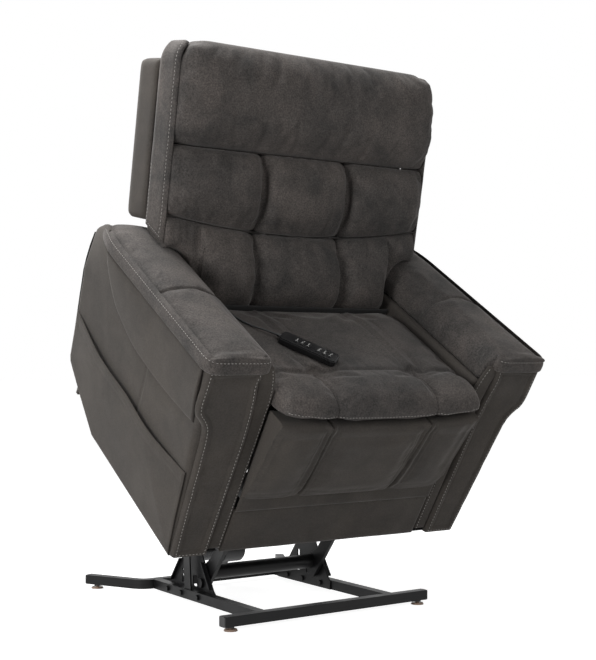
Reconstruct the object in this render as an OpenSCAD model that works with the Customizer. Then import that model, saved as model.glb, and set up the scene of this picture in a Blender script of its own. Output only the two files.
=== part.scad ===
// Lift recliner chair: steel lifting base, two-arm lift linkage, linear actuators,
// upholstered body with a reclining back and a folding footrest.
// Millimetres. The chair faces -Y and stands on z = 0, drawn fully raised.
// Left and right are the sitter's: left is +X.

/* [Seat and arms] */
// Clear width between the two arms
seat_w = 596; // [500:4:680]
// Width of each arm pad
arm_w = 204; // [170:2:240]
// Height of the arm tops above the body datum
arm_h = 545; // [510:5:600]
// Depth of the body from front panels to rear edge
body_d = 695; // [660:5:780]
// Height of the seat surface above the body datum
seat_h = 456; // [440:2:480]
// Depth of the seat cushion behind the front panels
seat_d = 394; // [360:2:410]
// How far the front roll of the seat stands forward
roll_out = 74; // [50:1:90]

/* [Back] */
// Width of the backrest
back_w = 806; // [700:2:900]
// Length of the backrest cushions, bottom to crown
back_l = 634; // [560:2:700]
// Backward lean of the back when upright
back_lean = 21; // [14:1:26]
// Thickness of the backrest cushions
back_t = 97; // [80:1:110]
// Depth of the rear shell behind the cushions
shell_t = 120; // [90:1:140]

/* [Lift] */
// Forward tilt of the body when fully raised
lift_tilt = 32; // [0:1:32]
// Length of the lift arms between pivots
arm_l = 310; // [290:1:320]
// Width of the lift arms
arm_bar = 37; // [30:1:42]
// Thickness of the lift arms
arm_thk = 10; // [8:0.5:12]
// Diameter of the torque tube
torque_d = 38; // [32:1:42]
// Wall of the torque tube
torque_wall = 3; // [2:0.5:5]
// Length of the control links between pivots
link_l = 312; // [300:1:320]

/* [Base frame] */
// Side of the square steel tube
tube = 25; // [22:1:30]
// Wall of the square steel tube
tube_wall = 2; // [1.5:0.5:3]
// Length of the front rail
front_l = 618; // [520:2:700]
// Distance between the inner faces of the side rails
track = 370; // [360:2:390]
// Diameter of the levelling feet
foot_d = 34; // [26:1:44]
// Height of the levelling feet
foot_h = 11; // [8:1:16]
// Length of each splayed rear leg
leg_l = 185; // [120:1:220]
// Splay of the rear legs from straight back
leg_splay = 28; // [15:1:40]

/* [Handset] */
// Length of the handset
handset_l = 150; // [120:1:180]
// Width of the handset
handset_w = 50; // [42:1:60]
// Thickness of the handset
handset_t = 15; // [12:1:20]
// Diameter of the handset cord
cord_d = 5; // [4:0.5:6]

/* [Hidden] */

steel_black = "#26272a";
steel_grey = "#4a4c50";
bright = "#b9bcc0";
plastic = "#1f2022";
wood = "#b08a5c";
cover = "#57504a";
cover_dark = "#4a443f";
$fn = 40;

// Whole object centred front to back
shift_y = -14;
half = seat_w / 2;
out_x = half + arm_w;

// Base
rail_z0 = foot_h;
rail_z1 = foot_h + tube;
front_y0 = -211;
front_y1 = front_y0 + tube;
rear_cl = 341.5;
rear_y0 = rear_cl - tube / 2;
track_x = track / 2;
bend_r = 45;
bend_a = 90 - leg_splay;
bend_t = bend_r * tan(bend_a / 2);
knee_x = 236;
leg_dir = [sin(leg_splay), cos(leg_splay)];
tip = [knee_x + leg_l * leg_dir[0], rear_cl + leg_l * leg_dir[1]];
cap_t = 2.5;

// Lift linkage in the side plane, [y, z]
pivot_a = [113, 56];
pivot_c = [155, 140];
arm_lean = 38.7;
chair_b = [127, 44.4];
chair_d = [163.6, 87.2];
plate_x = track_x - 4;
plate_t = 4;
arm_x = plate_x - 15;
swing_plate_x = arm_x + arm_thk + 2;
link_x = plate_x + plate_t + 3;
link_t = 8;
strap_x = link_x + link_t + 6;
bolt_r = 6;
pin_r = 8;
fit = 0.2;
b_world = [pivot_a[0] - arm_l * sin(arm_lean), pivot_a[1] + arm_l * cos(arm_lean)];
body_o = [
  b_world[0] - chair_b[0] * cos(lift_tilt) + chair_b[1] * sin(lift_tilt),
  b_world[1] - chair_b[0] * sin(lift_tilt) - chair_b[1] * cos(lift_tilt)
];
function to_world(p) = [
  body_o[0] + p[0] * cos(lift_tilt) - p[1] * sin(lift_tilt),
  body_o[1] + p[0] * sin(lift_tilt) + p[1] * cos(lift_tilt)
];
d_world = to_world(chair_d);
link_ang = atan2(d_world[1] - pivot_c[1], d_world[0] - pivot_c[0]);
tube_off = [16.5, 20];

// Lift actuator
pivot_g = [330, 56];
chair_h = [250, 110];
h_world = to_world(chair_h);
act_ang = atan2(h_world[1] - pivot_g[1], h_world[0] - pivot_g[0]);
act_len = norm(h_world - pivot_g);
drum_r = 38;
drum_at = 76;
tube_end = 216;
ear_x = 12;

// Body hinges, [y, z]
recline_p = [560, 330];
crank_r = 105;
crank_a = 17.5;
crank_j = [recline_p[0] + crank_r * sin(crank_a), recline_p[1] - crank_r * cos(crank_a)];
foot_o = [60, 305];
foot_arm = 175;
foot_m = [foot_o[0], foot_o[1] - foot_arm];
foot_q = [26, 285];
foot_gap = 60;
foot_x = half - 22;

// Back, [y, z] of its lower front edge
back_o = [431, 433];
row_1 = 190;
row_2 = back_l - 257;

module in_base() translate([0, shift_y, 0]) children();
module in_arm() in_base() translate([0, pivot_a[0], pivot_a[1]]) rotate([arm_lean, 0, 0]) children();
module in_link() in_base() translate([0, pivot_c[0], pivot_c[1]]) rotate([link_ang - 90, 0, 0])
  children();
module in_act() in_base() translate([0, pivot_g[0], pivot_g[1]]) rotate([act_ang - 90, 0, 0])
  children();
module in_body() in_base() translate([0, body_o[0], body_o[1]]) rotate([lift_tilt, 0, 0]) children();
module in_back() in_body() translate([0, back_o[0], back_o[1]]) rotate([-back_lean, 0, 0]) children();
module right() mirror([1, 0, 0]) children();
module both() {
  children();
  mirror([1, 0, 0]) children();
}

// A profile drawn in [y, z], extruded from x0 to x1
module along_x(x0, x1) translate([x0, 0, 0]) rotate([90, 0, 90]) linear_extrude(x1 - x0) children();
// A profile drawn in [x, z], extruded from y0 to y1
module along_y(y0, y1) translate([0, y1, 0]) rotate([90, 0, 0]) linear_extrude(y1 - y0) children();
module rod_x(x0, x1, p, r) translate([x0, p[0], p[1]]) rotate([0, 90, 0]) cylinder(r = r, h = x1 - x0);
module box(x0, x1, y0, y1, z0, z1) translate([x0, y0, z0]) cube([x1 - x0, y1 - y0, z1 - z0]);
module square_ring(s, w) difference() {
  square(s, center = true);
  square(s - 2 * w, center = true);
}
// Link of round ends between two points of the side plane, its flanks a hair inside the ends
flank = 0.01;
module bar_2d(a, b, w) {
  d = b - a;
  translate(a) circle(d = w);
  translate(b) circle(d = w);
  translate(a) rotate(atan2(d[1], d[0])) translate([0, flank - w / 2]) square([norm(d), w - 2 * flank]);
}
module slot_2d(a, b, r) {
  bar_2d(a, b, 2 * r);
}
module hex_head(x0, x1, p, af) translate([x0, p[0], p[1]]) rotate([0, 90, 0])
  cylinder(d = af / cos(30), h = x1 - x0, $fn = 6);

// Closed skin over a list of rings, each a list of 3-D points
function mid(r) = [for (k = [0:2]) let (c = [for (p = r) p[k]]) (min(c) + max(c)) / 2];
module skin(rings) {
  n = len(rings);
  m = len(rings[0]);
  points = concat([for (r = rings) each r], [mid(rings[0]), mid(rings[n - 1])]);
  sides = [for (i = [0:n - 2], j = [0:m - 1]) let (k = (j + 1) % m)
    each [[i * m + j, (i + 1) * m + k, i * m + k], [i * m + j, (i + 1) * m + j, (i + 1) * m + k]]];
  first = [for (j = [0:m - 1]) [n * m, j, (j + 1) % m]];
  last = [for (j = [0:m - 1]) [n * m + 1, (n - 1) * m + (j + 1) % m, (n - 1) * m + j]];
  polyhedron(points, concat(sides, first, last));
}
function near(x, c, w) = max(0, 1 - pow((x - c) / w, 2));
function pw(v, e) = sign(v) * pow(abs(v), e);

// ---- Base frame ----
module front_rail() color(steel_black) in_base()
  translate([0, (front_y0 + front_y1) / 2, (rail_z0 + rail_z1) / 2])
    along_x(-front_l / 2, front_l / 2) square_ring(tube, tube_wall);

module side_rail() in_base() translate([track_x + tube / 2, 0, (rail_z0 + rail_z1) / 2])
  difference() {
    along_y(front_y1, rear_y0) square_ring(tube, tube_wall);
    for (y = tower_bolt_y) translate([-tube, y, 0]) rotate([0, 90, 0]) cylinder(r = 4 + fit, h = 2 * tube);
  }
module side_rail_left() color(steel_black) side_rail();
module side_rail_right() color(steel_black) right() side_rail();

module rear_leg() {
  c = [knee_x - bend_t, rear_cl + bend_r];
  translate([c[0], c[1], 0]) rotate(-90) rotate_extrude(angle = bend_a, $fn = 48)
    translate([bend_r, 0]) square_ring(tube, tube_wall);
  translate([knee_x, rear_cl, 0]) rotate(-leg_splay) along_y(bend_t, leg_l)
    square_ring(tube, tube_wall);
}
module rear_rail() color(steel_black) in_base() translate([0, 0, (rail_z0 + rail_z1) / 2]) {
  along_x(-(knee_x - bend_t), knee_x - bend_t) translate([rear_cl, 0]) square_ring(tube, tube_wall);
  both() rear_leg();
}

module end_cap() {
  inner = tube - 2 * tube_wall - 2 * fit;
  along_y(0, cap_t) offset(r = 3, $fn = 16) square(tube - 6, center = true);
  along_y(-12, 0) square(inner, center = true);
}
module rail_end_caps() color(plastic) in_base() translate([0, 0, (rail_z0 + rail_z1) / 2]) both() {
  translate([front_l / 2, (front_y0 + front_y1) / 2, 0]) rotate(-90) end_cap();
  translate([tip[0], tip[1], 0]) rotate(-leg_splay) end_cap();
}

foot_at = [[front_l / 2 - 22, (front_y0 + front_y1) / 2], tip - 30 * leg_dir];
module foot() {
  cylinder(r1 = foot_d / 2, r2 = foot_d / 2 - 2, h = foot_h * 0.4);
  translate([0, 0, foot_h * 0.4]) cylinder(r = 5, h = foot_h * 0.6);
  translate([0, 0, foot_h - 4]) cylinder(d = 17 / cos(30), h = 4, $fn = 6);
}
module levelling_feet() color(plastic) in_base() both()
  for (p = foot_at) translate([p[0], p[1], 0]) foot();

// ---- Lift towers ----
tower_bolt_y = [90, 176, 250];
apex_r = 30;
// Unit vectors up the front and rear edges of a tower
edge_f = [0.555, 0.832];
edge_r = [-0.614, 0.789];
apex_f = pivot_c + apex_r * [-edge_f[1], edge_f[0]];
apex_b = pivot_c + apex_r * [edge_r[1], -edge_r[0]];
toe_f = apex_f - edge_f * ((apex_f[1] - rail_z1 - 6) / edge_f[1]);
toe_b = apex_b - edge_r * ((apex_b[1] - rail_z1 - 6) / edge_r[1]);

module tower_outline() {
  polygon([
    [toe_f[0] - 9, rail_z0], [toe_b[0] + 30, rail_z0], [toe_b[0] + 30, rail_z0 + 18], toe_b,
    apex_b, apex_f, toe_f, [toe_f[0] - 9, rail_z1 - 2]
  ]);
  translate(pivot_c) circle(r = apex_r);
}
// Round-cornered window between two corners
module window_2d(a, b, r) {
  translate([a[0] + r, a[1]]) square([b[0] - a[0] - 2 * r, b[1] - a[1]]);
  translate([a[0], a[1] + r]) square([b[0] - a[0], b[1] - a[1] - 2 * r]);
  for (y = [a[0] + r, b[0] - r], z = [a[1] + r, b[1] - r]) translate([y, z]) circle(r = r);
}
module edge_lip(toe, dir, inward) {
  n = [dir[1], -dir[0]] * inward;
  a = toe + 6 * dir + 0.4 * n;
  polygon([a, a + 78 * dir, a + 78 * dir + 3 * n, a + 3 * n]);
}
module lift_tower() in_base() {
  // Pressed plate bolted to the inner face of the side rail
  along_x(plate_x, plate_x + plate_t) difference() {
    tower_outline();
    window_2d([190, 44], [218, 66], 5);
    window_2d([136, 42], [158, 72], 5);
    window_2d([190, 84], [201, 104], 5);
    translate([212, 78]) circle(r = 4);
    translate(pivot_a) circle(r = pin_r + fit);
    translate(pivot_c) circle(r = bolt_r + fit);
    for (y = tower_bolt_y) translate([y, (rail_z0 + rail_z1) / 2]) circle(r = 4 + fit);
  }
  // Turned lips along both sloping edges
  along_x(plate_x, plate_x + 14) {
    edge_lip(toe_f, edge_f, 1);
    edge_lip(toe_b, edge_r, -1);
  }
  // Outer strap from the rail to the apex, turned in over the link
  along_x(strap_x, strap_x + plate_t) difference() {
    polygon([[134, rail_z1], [166, rail_z1], [174, 150], [171, 168], [150, 168], [141, 125]]);
    translate(pivot_c) circle(r = bolt_r + fit);
  }
  along_x(plate_x + plate_t, strap_x + plate_t / 2) polygon([[150, 164], [171, 164], [171, 168], [150, 168]]);
}
module lift_tower_left() color(steel_black) lift_tower();
module lift_tower_right() color(steel_black) right() lift_tower();

module tower_bolts() color(bright) in_base() both() {
  z = (rail_z0 + rail_z1) / 2;
  for (y = tower_bolt_y) {
    hex_head(track_x + tube, track_x + tube + 5.5, [y, z], 13);
    rod_x(plate_x - 3, track_x + tube + 1, [y, z], 4);
    hex_head(plate_x - 5, plate_x, [y, z], 13);
  }
}

module actuator_base_bracket() color(steel_black) in_base() {
  box(-ear_x - 5, ear_x + 5, rear_y0, rear_y0 + tube, rail_z1, rail_z1 + 3);
  both() along_x(ear_x, ear_x + 5) difference() {
    union() {
      polygon([
        [rear_y0, rail_z1], [rear_y0 + tube, rail_z1], pivot_g + [9, 9.5],
        pivot_g + [-12, -4]
      ]);
      translate(pivot_g) circle(r = 13);
    }
    translate(pivot_g) circle(r = bolt_r + fit);
  }
}

module base_pivot_pins() color(bright) in_base() {
  both() {
    // Shouldered pivot of the lift arm
    rod_x(arm_x, plate_x + plate_t + 1, pivot_a, pin_r);
    rod_x(plate_x + plate_t, plate_x + plate_t + 7, pivot_a, 13);
    // Pivot of the control link
    hex_head(plate_x - 6, plate_x, pivot_c, 17);
    rod_x(plate_x - 1, strap_x + plate_t + 2, pivot_c, bolt_r);
    hex_head(strap_x + plate_t, strap_x + plate_t + 6, pivot_c, 17);
  }
  rod_x(-ear_x - 9, ear_x + 9, pivot_g, bolt_r);
  rod_x(ear_x + 5, ear_x + 9, pivot_g, 9);
  rod_x(-ear_x - 9, -ear_x - 5, pivot_g, 9);
}

// ---- Lift arms ----
module lift_arm() in_arm() along_x(arm_x, arm_x + arm_thk) difference() {
  union() {
    bar_2d([0, 0], [0, arm_l], arm_bar);
    translate(tube_off) circle(r = torque_d / 2 + 5);
    polygon([[-arm_bar / 2, -2], [4, -18], tube_off + [20, -12], tube_off + [12, 20], [arm_bar / 2, 70], [0, 80]]);
  }
  circle(r = pin_r + fit);
  translate([0, arm_l]) circle(r = bolt_r + fit);
}
module lift_arm_left() color(steel_black) lift_arm();
module lift_arm_right() color(steel_black) right() lift_arm();
module torque_tube() color(steel_black) in_arm() difference() {
  rod_x(-arm_x, arm_x, tube_off, torque_d / 2);
  rod_x(-arm_x - 1, arm_x + 1, tube_off, torque_d / 2 - torque_wall);
}

// ---- Control links ----
module control_link() in_link() {
  along_x(link_x, link_x + link_t) difference() {
    bar_2d([0, 0], [0, link_l], 22);
    circle(r = bolt_r + fit);
  }
  rod_x(swing_plate_x - 4, link_x + 1, [0, link_l], bolt_r);
  rod_x(swing_plate_x - 4, swing_plate_x - 0.6, [0, link_l], 9);
}
module control_link_left() color(steel_black) control_link();
module control_link_right() color(steel_black) right() control_link();

// ---- Lift actuator, pivot at the origin, axis along +Z ----
module lift_gearbox() color(plastic) in_act() {
  difference() {
    union() {
      rod_x(-31, 29, [0, drum_at], drum_r);
      rod_x(-35, 33, [0, drum_at], drum_r - 3);
      // Neck that carries the outer tube
      translate([0, 0, drum_at + 20]) cylinder(r = 23, h = 26);
      along_x(-18, 18) polygon([[-20, drum_at + 20], [20, drum_at + 20], [16, drum_at + 40], [-16, drum_at + 40]]);
      // Rear tongue
      along_x(-9, 9) {
        circle(r = 12);
        polygon([[-12, 0], [12, 0], [18, drum_at - 30], [-18, drum_at - 30]]);
      }
    }
    rod_x(-10, 10, [0, 0], bolt_r + fit);
    translate([0, 0, 106]) cylinder(r = 18, h = 40);
  }
}
module lift_motor() color(steel_grey) in_act() {
  rod_x(-98, -35, [0, drum_at], 28);
  rod_x(-113, -98, [0, drum_at], 25);
  rod_x(-120, -113, [0, drum_at], 12);
}
module lift_outer_tube() color(steel_grey) in_act() {
  difference() {
    union() {
      translate([0, 0, 106]) cylinder(r = 17.9, h = tube_end - 106);
      translate([0, 0, tube_end - 14]) cylinder(r = 20, h = 14);
    }
    translate([0, 0, 112]) cylinder(r = 14, h = tube_end - 112 - 8);
    translate([0, 0, tube_end - 9]) cylinder(r = 10.05, h = 10);
  }
}
module lift_rod() color(bright) in_act() {
  translate([0, 0, 203]) cylinder(r = 10, h = act_len - 12 - 203);
  rod_x(-10, 10, [0, act_len], 14);
  rod_x(-ear_x - 10, ear_x + 10, [0, act_len], bolt_r);
  both() rod_x(ear_x + 6.5, ear_x + 10, [0, act_len], 12);
}

// ---- Chassis under the seat ----
member_x = track_x + 30;
low_z = 45;
cross_f = 60;
cross_b = 625;
h_tube = [238, 130];
frame_x = half + 20;
module chassis_frame() color(steel_black) in_body() {
  both() {
    box(member_x, member_x + tube, cross_f, cross_b + tube, low_z, low_z + tube);
    box(member_x, member_x + tube, h_tube[0], h_tube[0] + tube, low_z, h_tube[1] + tube);
    along_x(swing_plate_x, swing_plate_x + plate_t) difference() {
      polygon([
        [cross_f + 2, low_z], [86, 27], [138, 24], [178, 56], [188, 78], [183, 104], [160, 112],
        [cross_f + 2, low_z + tube]
      ]);
      translate(chair_b) circle(r = bolt_r + fit);
      slot_2d(chair_d + [0.5, 0.6], chair_d + [-3.2, -4.2], bolt_r + 1);
    }
    // Ears for the actuator's front pin, slotted so that the drive can only push
    along_x(ear_x, ear_x + 6) difference() {
      polygon([
        h_tube + [-14, 2], h_tube + [tube + 6, 2], [278, 112], [268, 92], [246, 78], [226, 82],
        [218, 98]
      ]);
      slot_2d(chair_h + [1, 0.5], chair_h + [-8.6, -12], bolt_r + 3.2);
    }
  }
  box(-frame_x, frame_x, cross_f, cross_f + tube, low_z, low_z + tube);
  box(-frame_x, frame_x, cross_b, cross_b + tube, low_z, low_z + tube);
  box(-member_x, member_x, h_tube[0], h_tube[0] + tube, h_tube[1], h_tube[1] + tube);
}
module chassis_pivot_bolts() color(bright) in_body() both() {
  rod_x(arm_x - 6, swing_plate_x + plate_t + 1, chair_b, bolt_r);
  hex_head(swing_plate_x + plate_t, swing_plate_x + plate_t + 5, chair_b, 17);
  hex_head(arm_x - 7, arm_x - 0.5, chair_b, 17);
}

// ---- Seat ----
rail_top = 345;
rail_b = 470;
module seat_frame() {
  color(wood) in_body() {
    both() difference() {
      box(half - 8, frame_x, 20, 600, rail_top - 60, rail_top);
      rod_x(half - 9, frame_x + 1, recline_p, pin_r);
      rod_x(half - 9, frame_x + 1, foot_o, bolt_r);
    }
    box(-half + 8, half - 8, foot_o[0] + 2, foot_o[0] + 27, rail_top - 22, rail_top);
    box(-half + 8, half - 8, rail_b - 15, rail_b + 10, rail_top - 22, rail_top);
  }
  color(bright) in_body() both() {
    rod_x(half - 17.5, frame_x, recline_p, pin_r);
    rod_x(foot_x - 2, frame_x, foot_o, bolt_r);
    rod_x(foot_x - 5, foot_x - 2, foot_o, 10);
  }
}
springs = 5;
module sinuous(y0, y1, amp, pitch, w) {
  n = floor((y1 - y0) / pitch);
  step = (y1 - y0) / n;
  for (i = [0:n - 1]) {
    s = i % 2 == 0 ? 1 : -1;
    translate([-amp, y0 + i * step - w / 2]) square([2 * amp, w]);
    translate([s * amp - w / 2, y0 + i * step - w / 2]) square([w, step + w]);
  }
  translate([-amp, y1 - w / 2]) square([2 * amp, w]);
}
module seat_springs() color(bright) in_body() for (i = [0:springs - 1])
  translate([(i - (springs - 1) / 2) * 0.17 * seat_w, 0, rail_top])
    linear_extrude(3.6) sinuous(foot_o[0] + 14, rail_b, 20, 28, 3.6);

// Seat block and the front roll that is sewn to it, each a skin over rings along x
channel_x = 0.247 * seat_w;
roll_back = 66;
module seat_cushion() {
  edge = half - 1.6;
  xs = [-edge, -edge + 3, -edge + 12, -edge + 45, -200, -channel_x - 22, -channel_x - 7, -channel_x,
    -channel_x + 7, -channel_x + 24, -80, 0, 80, channel_x - 24, channel_x - 7, channel_x,
    channel_x + 7, channel_x + 22, 200, edge - 45, edge - 12, edge - 3, edge];
  function tuck(x) = 13 * (near(x, channel_x, 16) + near(x, -channel_x, 16));
  function side(x) = let (d = edge - abs(x)) d > 30 ? 0 : 22 * pow(1 - d / 30, 2.2);
  function out(x) = -tuck(x) - side(x);
  function sag(x) = 16 * near(x, 0, edge);
  function block(x) = let (o = out(x), t = seat_h) [
    [x, seat_d, 349], [x, seat_d + 1 + o * 0.3, 400], [x, seat_d - 14, t - 12 + o * 0.8],
    [x, 320, t - 2 + o], [x, 220, t + 1 + o], [x, 120, t + o], [x, roll_back + 0.4, t + 3 + o * 1.1],
    [x, roll_back + 0.4, 396], [x, roll_back + 0.4, 349], [x, 200, 349]
  ];
  function roll(x) = let (o = out(x), s = sag(x), t = seat_h) [
    [x, roll_back, t + 3 + o * 1.1], [x, 50, t + 4 + o * 1.2], [x, 20, t + 13 + o], [x, -12, t + 12 + o],
    [x, -roll_out * 0.6 - o * 0.5, t + 2 + o * 0.8], [x, -roll_out * 0.9 - o * 0.8, t - 18 + o * 0.4],
    [x, -roll_out - o, t - 36], [x, -roll_out * 0.95 - o * 0.9, 417 - s - o * 0.1],
    [x, -roll_out * 0.8 - o * 0.6, 410 - s - o * 0.2], [x, -30, 408 - s * 0.7], [x, 30, 404 - s * 0.5],
    [x, roll_back, 396]
  ];
  color(cover) in_body() {
    skin([for (x = xs) block(x)]);
    skin([for (x = xs) roll(x)]);
  }
}

// Top corners of the apron, cut away [across, down] where the folded footrest arms stand
apron_corner = [44, 24];
module apron_outline(x, z0, z1) {
  c = apron_corner;
  polygon([[-x, z0], [x, z0], [x, z1 - c[1]], [half - c[0], z1 - c[1]], [half - c[0], z1], [-half + c[0], z1],
    [-half + c[0], z1 - c[1]], [-x, z1 - c[1]]]);
}
module front_apron() color(cover_dark) in_body() {
  along_y(-5, 6) apron_outline(half - 0.3, -11, 140);
  along_y(-8, -4) apron_outline(half - 14, -8, 134);
}
module rear_outline() {
  x = half + 106.5;
  polygon([
    [-x, -6], [x, -6], [x, arm_h - 80], [frame_x + 6, arm_h - 80], [half - 4, 412],
    [-half + 4, 412], [-frame_x - 6, arm_h - 80], [-x, arm_h - 80]
  ]);
}
module rear_panel() color(cover_dark) in_body() {
  along_y(body_d - 22.7, body_d - 10) rear_outline();
  along_y(body_d - 10, body_d - 6) offset(delta = -7) rear_outline();
}
module control_box() color(plastic) in_body() {
  z1 = rail_top - 22;
  difference() {
    box(-240, -110, 428, 500, z1 - 40, z1);
    // Mains inlet socket
    box(-196, -170, 488, 501, z1 - 30, z1 - 12);
  }
  for (x = [-187, -183, -179]) box(x - 1, x + 1, 487, 497, z1 - 24, z1 - 18);
}

// ---- Arms, drawn for the left side ----
arm_foot = -12;
outer_low = half + 107;
frame_top = arm_h - 77;
module arm_frame() in_body() difference() {
  box(frame_x, outer_low, 0, body_d - 23, 6, frame_top);
  box(frame_x + 18, outer_low + 1, 18, body_d - 41, 30, frame_top - 18);
  // Cut-outs that lighten the inner board
  along_x(frame_x - 1, frame_x + 19) {
    window_2d([110, 120], [230, 270], 20);
    window_2d([300, 120], [520, 270], 20);
  }
}
module arm_frame_left() color(wood) arm_frame();
module arm_frame_right() color(wood) right() arm_frame();

// Outer surface of the side panel: [x, z] up its height
function flare(o) = [
  [half + 135 + o, arm_foot], [half + 147 + o, 90], [half + 156 + o, 190], [half + 163 + o, 260],
  [half + 172 + o, 350], [half + 184 + o, 440], [out_x - 12 + o, arm_h - 44]
];
module side_outline() polygon([
  [1.5, arm_foot], [body_d - 205, arm_foot], [body_d - 90, 50], [body_d - 12, 96], [body_d - 4, 112],
  [body_d, 300], [body_d - 1, 440], [body_d - 6, 470], [body_d - 22, arm_h - 60], [body_d - 50, arm_h - 44],
  [1.5, arm_h - 44]
]);
module arm_side_panel() in_body() intersection() {
  along_x(outer_low, out_x + 10) side_outline();
  along_y(0, body_d) polygon(concat([[outer_low, arm_h - 44], [outer_low, arm_foot]], flare(0)));
}
module arm_side_panel_left() color(cover) arm_side_panel();
module arm_side_panel_right() color(cover) right() arm_side_panel();

module front_outline() polygon([
  [half + 38.5, arm_foot + 2], [half + 132, arm_foot + 2], [half + 146, 180], [half + 152, 300],
  [half + 159, 350], [half + 172, 372], [half + 187, 388], [out_x - 10, 430], [out_x - 10, arm_h - 36],
  [half + 65, arm_h - 36], [half + 53, 458], [half + 38.5, 330]
]);
module arm_front_panel() in_body() {
  along_y(-8, 0) front_outline();
  along_y(-12, -8) offset(delta = -5) front_outline();
}
module arm_front_panel_left() color(cover_dark) arm_front_panel();
module arm_front_panel_right() color(cover_dark) right() arm_front_panel();

module arm_inner_panel() in_body() {
  along_y(-6, 0) polygon([
    [half, 0], [half + 37.5, 0], [half + 37.5, 330], [half + 51, 458], [half + 62, arm_h - 36],
    [half + 20, arm_h - 36], [half + 10, 482], [half, 424]
  ]);
  box(half, frame_x - 0.3, 0, 640, rail_top + 5, frame_top);
}
module arm_inner_panel_left() color(cover) arm_inner_panel();
module arm_inner_panel_right() color(cover) right() arm_inner_panel();

// Section of the arm pad, [x, z]
pad_sec = [
  [half + 6, frame_top + 0.3], [half + 8, arm_h - 62], [half + 13, arm_h - 42], [half + 21, arm_h - 24],
  [half + 36, arm_h - 8], [half + 62, arm_h - 1], [half + 110, arm_h], [half + 165, arm_h - 2],
  [out_x - 12, arm_h - 8], [out_x - 3, arm_h - 20], [out_x, arm_h - 30], [out_x - 10, arm_h - 43.4],
  [half + 150, arm_h - 43.4], [outer_low - 2, arm_h - 43.4], [outer_low - 4, frame_top + 0.3],
  [half + 60, frame_top + 0.3]
];
module arm_pad() {
  lip = [half + 37, arm_h - 33];
  c = [half + 125, arm_h - 20];
  function squash(p, f) = let (
    q = [lip[0] + (p[0] - half - 6) * (out_x - lip[0]) / (arm_w - 6), lip[1] + (p[1] - frame_top) * 33 / 77]
  ) (c + (q - c) * f);
  function drop(y) = y < 560 ? 3 * near(y, 278, 8) : arm_h - 330 - sqrt(pow(arm_h - 330, 2) - pow(y - 560, 2));
  function low(z, y) = z < arm_h - 40 ? z : max(arm_h - 42, z - drop(y));
  tail = body_d - 12;
  ys = [1, 6, 60, 160, 262, 272, 278, 284, 294, 400, 500, 560, 600, 635, 660, tail];
  in_body() skin(concat(
    [for (s = [[-18, 0.9], [-15, 0.98], [-8, 1], [0.4, 1]]) [for (p = pad_sec) let (q = squash(p, s[1])) [q[0], s[0], q[1]]]],
    [for (y = ys) [for (p = pad_sec) [p[0], y, low(p[1], y)]]]
  ));
}
module arm_pad_left() color(cover) arm_pad();
module arm_pad_right() color(cover) right() arm_pad();

module arm_cover_flap() in_body() intersection() {
  along_x(outer_low, out_x + 20) polygon([
    [14, arm_h - 45], [14, 352], [68, 350], [180, 342], [278, 343], [357, 350], [430, 372], [478, 392],
    [540, 433], [578, 466], [600, arm_h - 45]
  ]);
  along_y(0, body_d) polygon(concat(flare(0.4), [for (i = [6:-1:0]) flare(6)[i]]));
}
module arm_cover_flap_left() color(cover) arm_cover_flap();
module arm_cover_flap_right() color(cover) right() arm_cover_flap();

// Patch pocket across the lower half of the right side panel
pocket_mouth = [[648, 250], [520, 231], [435, 226], [319, 230], [230, 216], [145, 217], [24, 226]];
module pocket_skin(o) polygon([
  [half + 135.4, arm_foot], [half + 147.4, 90], [half + 156.4, 190], [half + 163.4, 262],
  [half + 163.4 + o, 262], [half + 156.4 + o * 0.9, 190], [half + 147.4 + o * 0.7, 90], [half + 135.4 + o * 0.35, arm_foot]
]);
module side_pocket() color(cover) in_body() right() difference() {
  intersection() {
    along_x(outer_low, out_x + 40) polygon(concat(pocket_mouth, [[3, 228], [3, -10], [489, -10], [body_d - 92, 52], [body_d - 15, 98], [body_d - 8, 112], [body_d - 6, 252]]));
    along_y(0, body_d) pocket_skin(16);
  }
  intersection() {
    along_x(outer_low, out_x + 40) polygon([[22, 300], [22, 20], [478, 20], [652, 122], [652, 300]]);
    along_y(0, body_d) translate([-1, 0]) pocket_skin(13);
  }
}

// ---- Handset ----
hand_at = [-130, 140];
hand_ang = -50;
hand_z = seat_h + 8;
module in_hand() in_body() translate([hand_at[0], hand_at[1], hand_z]) rotate(hand_ang) children();
button_u = [-handset_l / 2 + 42, -handset_l / 2 + 57, -handset_l / 2 + 72, -handset_l / 2 + 100,
  -handset_l / 2 + 115, -handset_l / 2 + 130];
button_l = 11;
button_w = 28;
button_rise = 1.6;
button_travel = 1.2;
module rounded(l, w, r) offset(r = r, $fn = 24) square([l - 2 * r, w - 2 * r], center = true);
module handset_body() color(plastic) in_hand() difference() {
  union() {
    linear_extrude(handset_t - 3) rounded(handset_l, handset_w, 12);
    translate([0, 0, handset_t - 3]) linear_extrude(3) rounded(handset_l - 4, handset_w - 4, 10);
    translate([-handset_l / 2 - 9, 0, handset_t / 2]) rotate([0, 90, 0]) cylinder(r1 = 3.6, r2 = 5.5, h = 10);
  }
  for (u = button_u) translate([u - button_l / 2 - 0.4, -button_w / 2 - 0.4, handset_t - 4])
    cube([button_l + 0.8, button_w + 0.8, 5]);
}
module handset_button(i) color("#2c2d30") in_hand()
  translate([button_u[i], 0, handset_t - 4 + button_travel + 0.2])
    linear_extrude(4 - button_travel - 0.2 + button_rise) rounded(button_l, button_w, 2.5);
module handset_button_1() handset_button(0);
module handset_button_2() handset_button(1);
module handset_button_3() handset_button(2);
module handset_button_4() handset_button(3);
module handset_button_5() handset_button(4);
module handset_button_6() handset_button(5);

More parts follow.
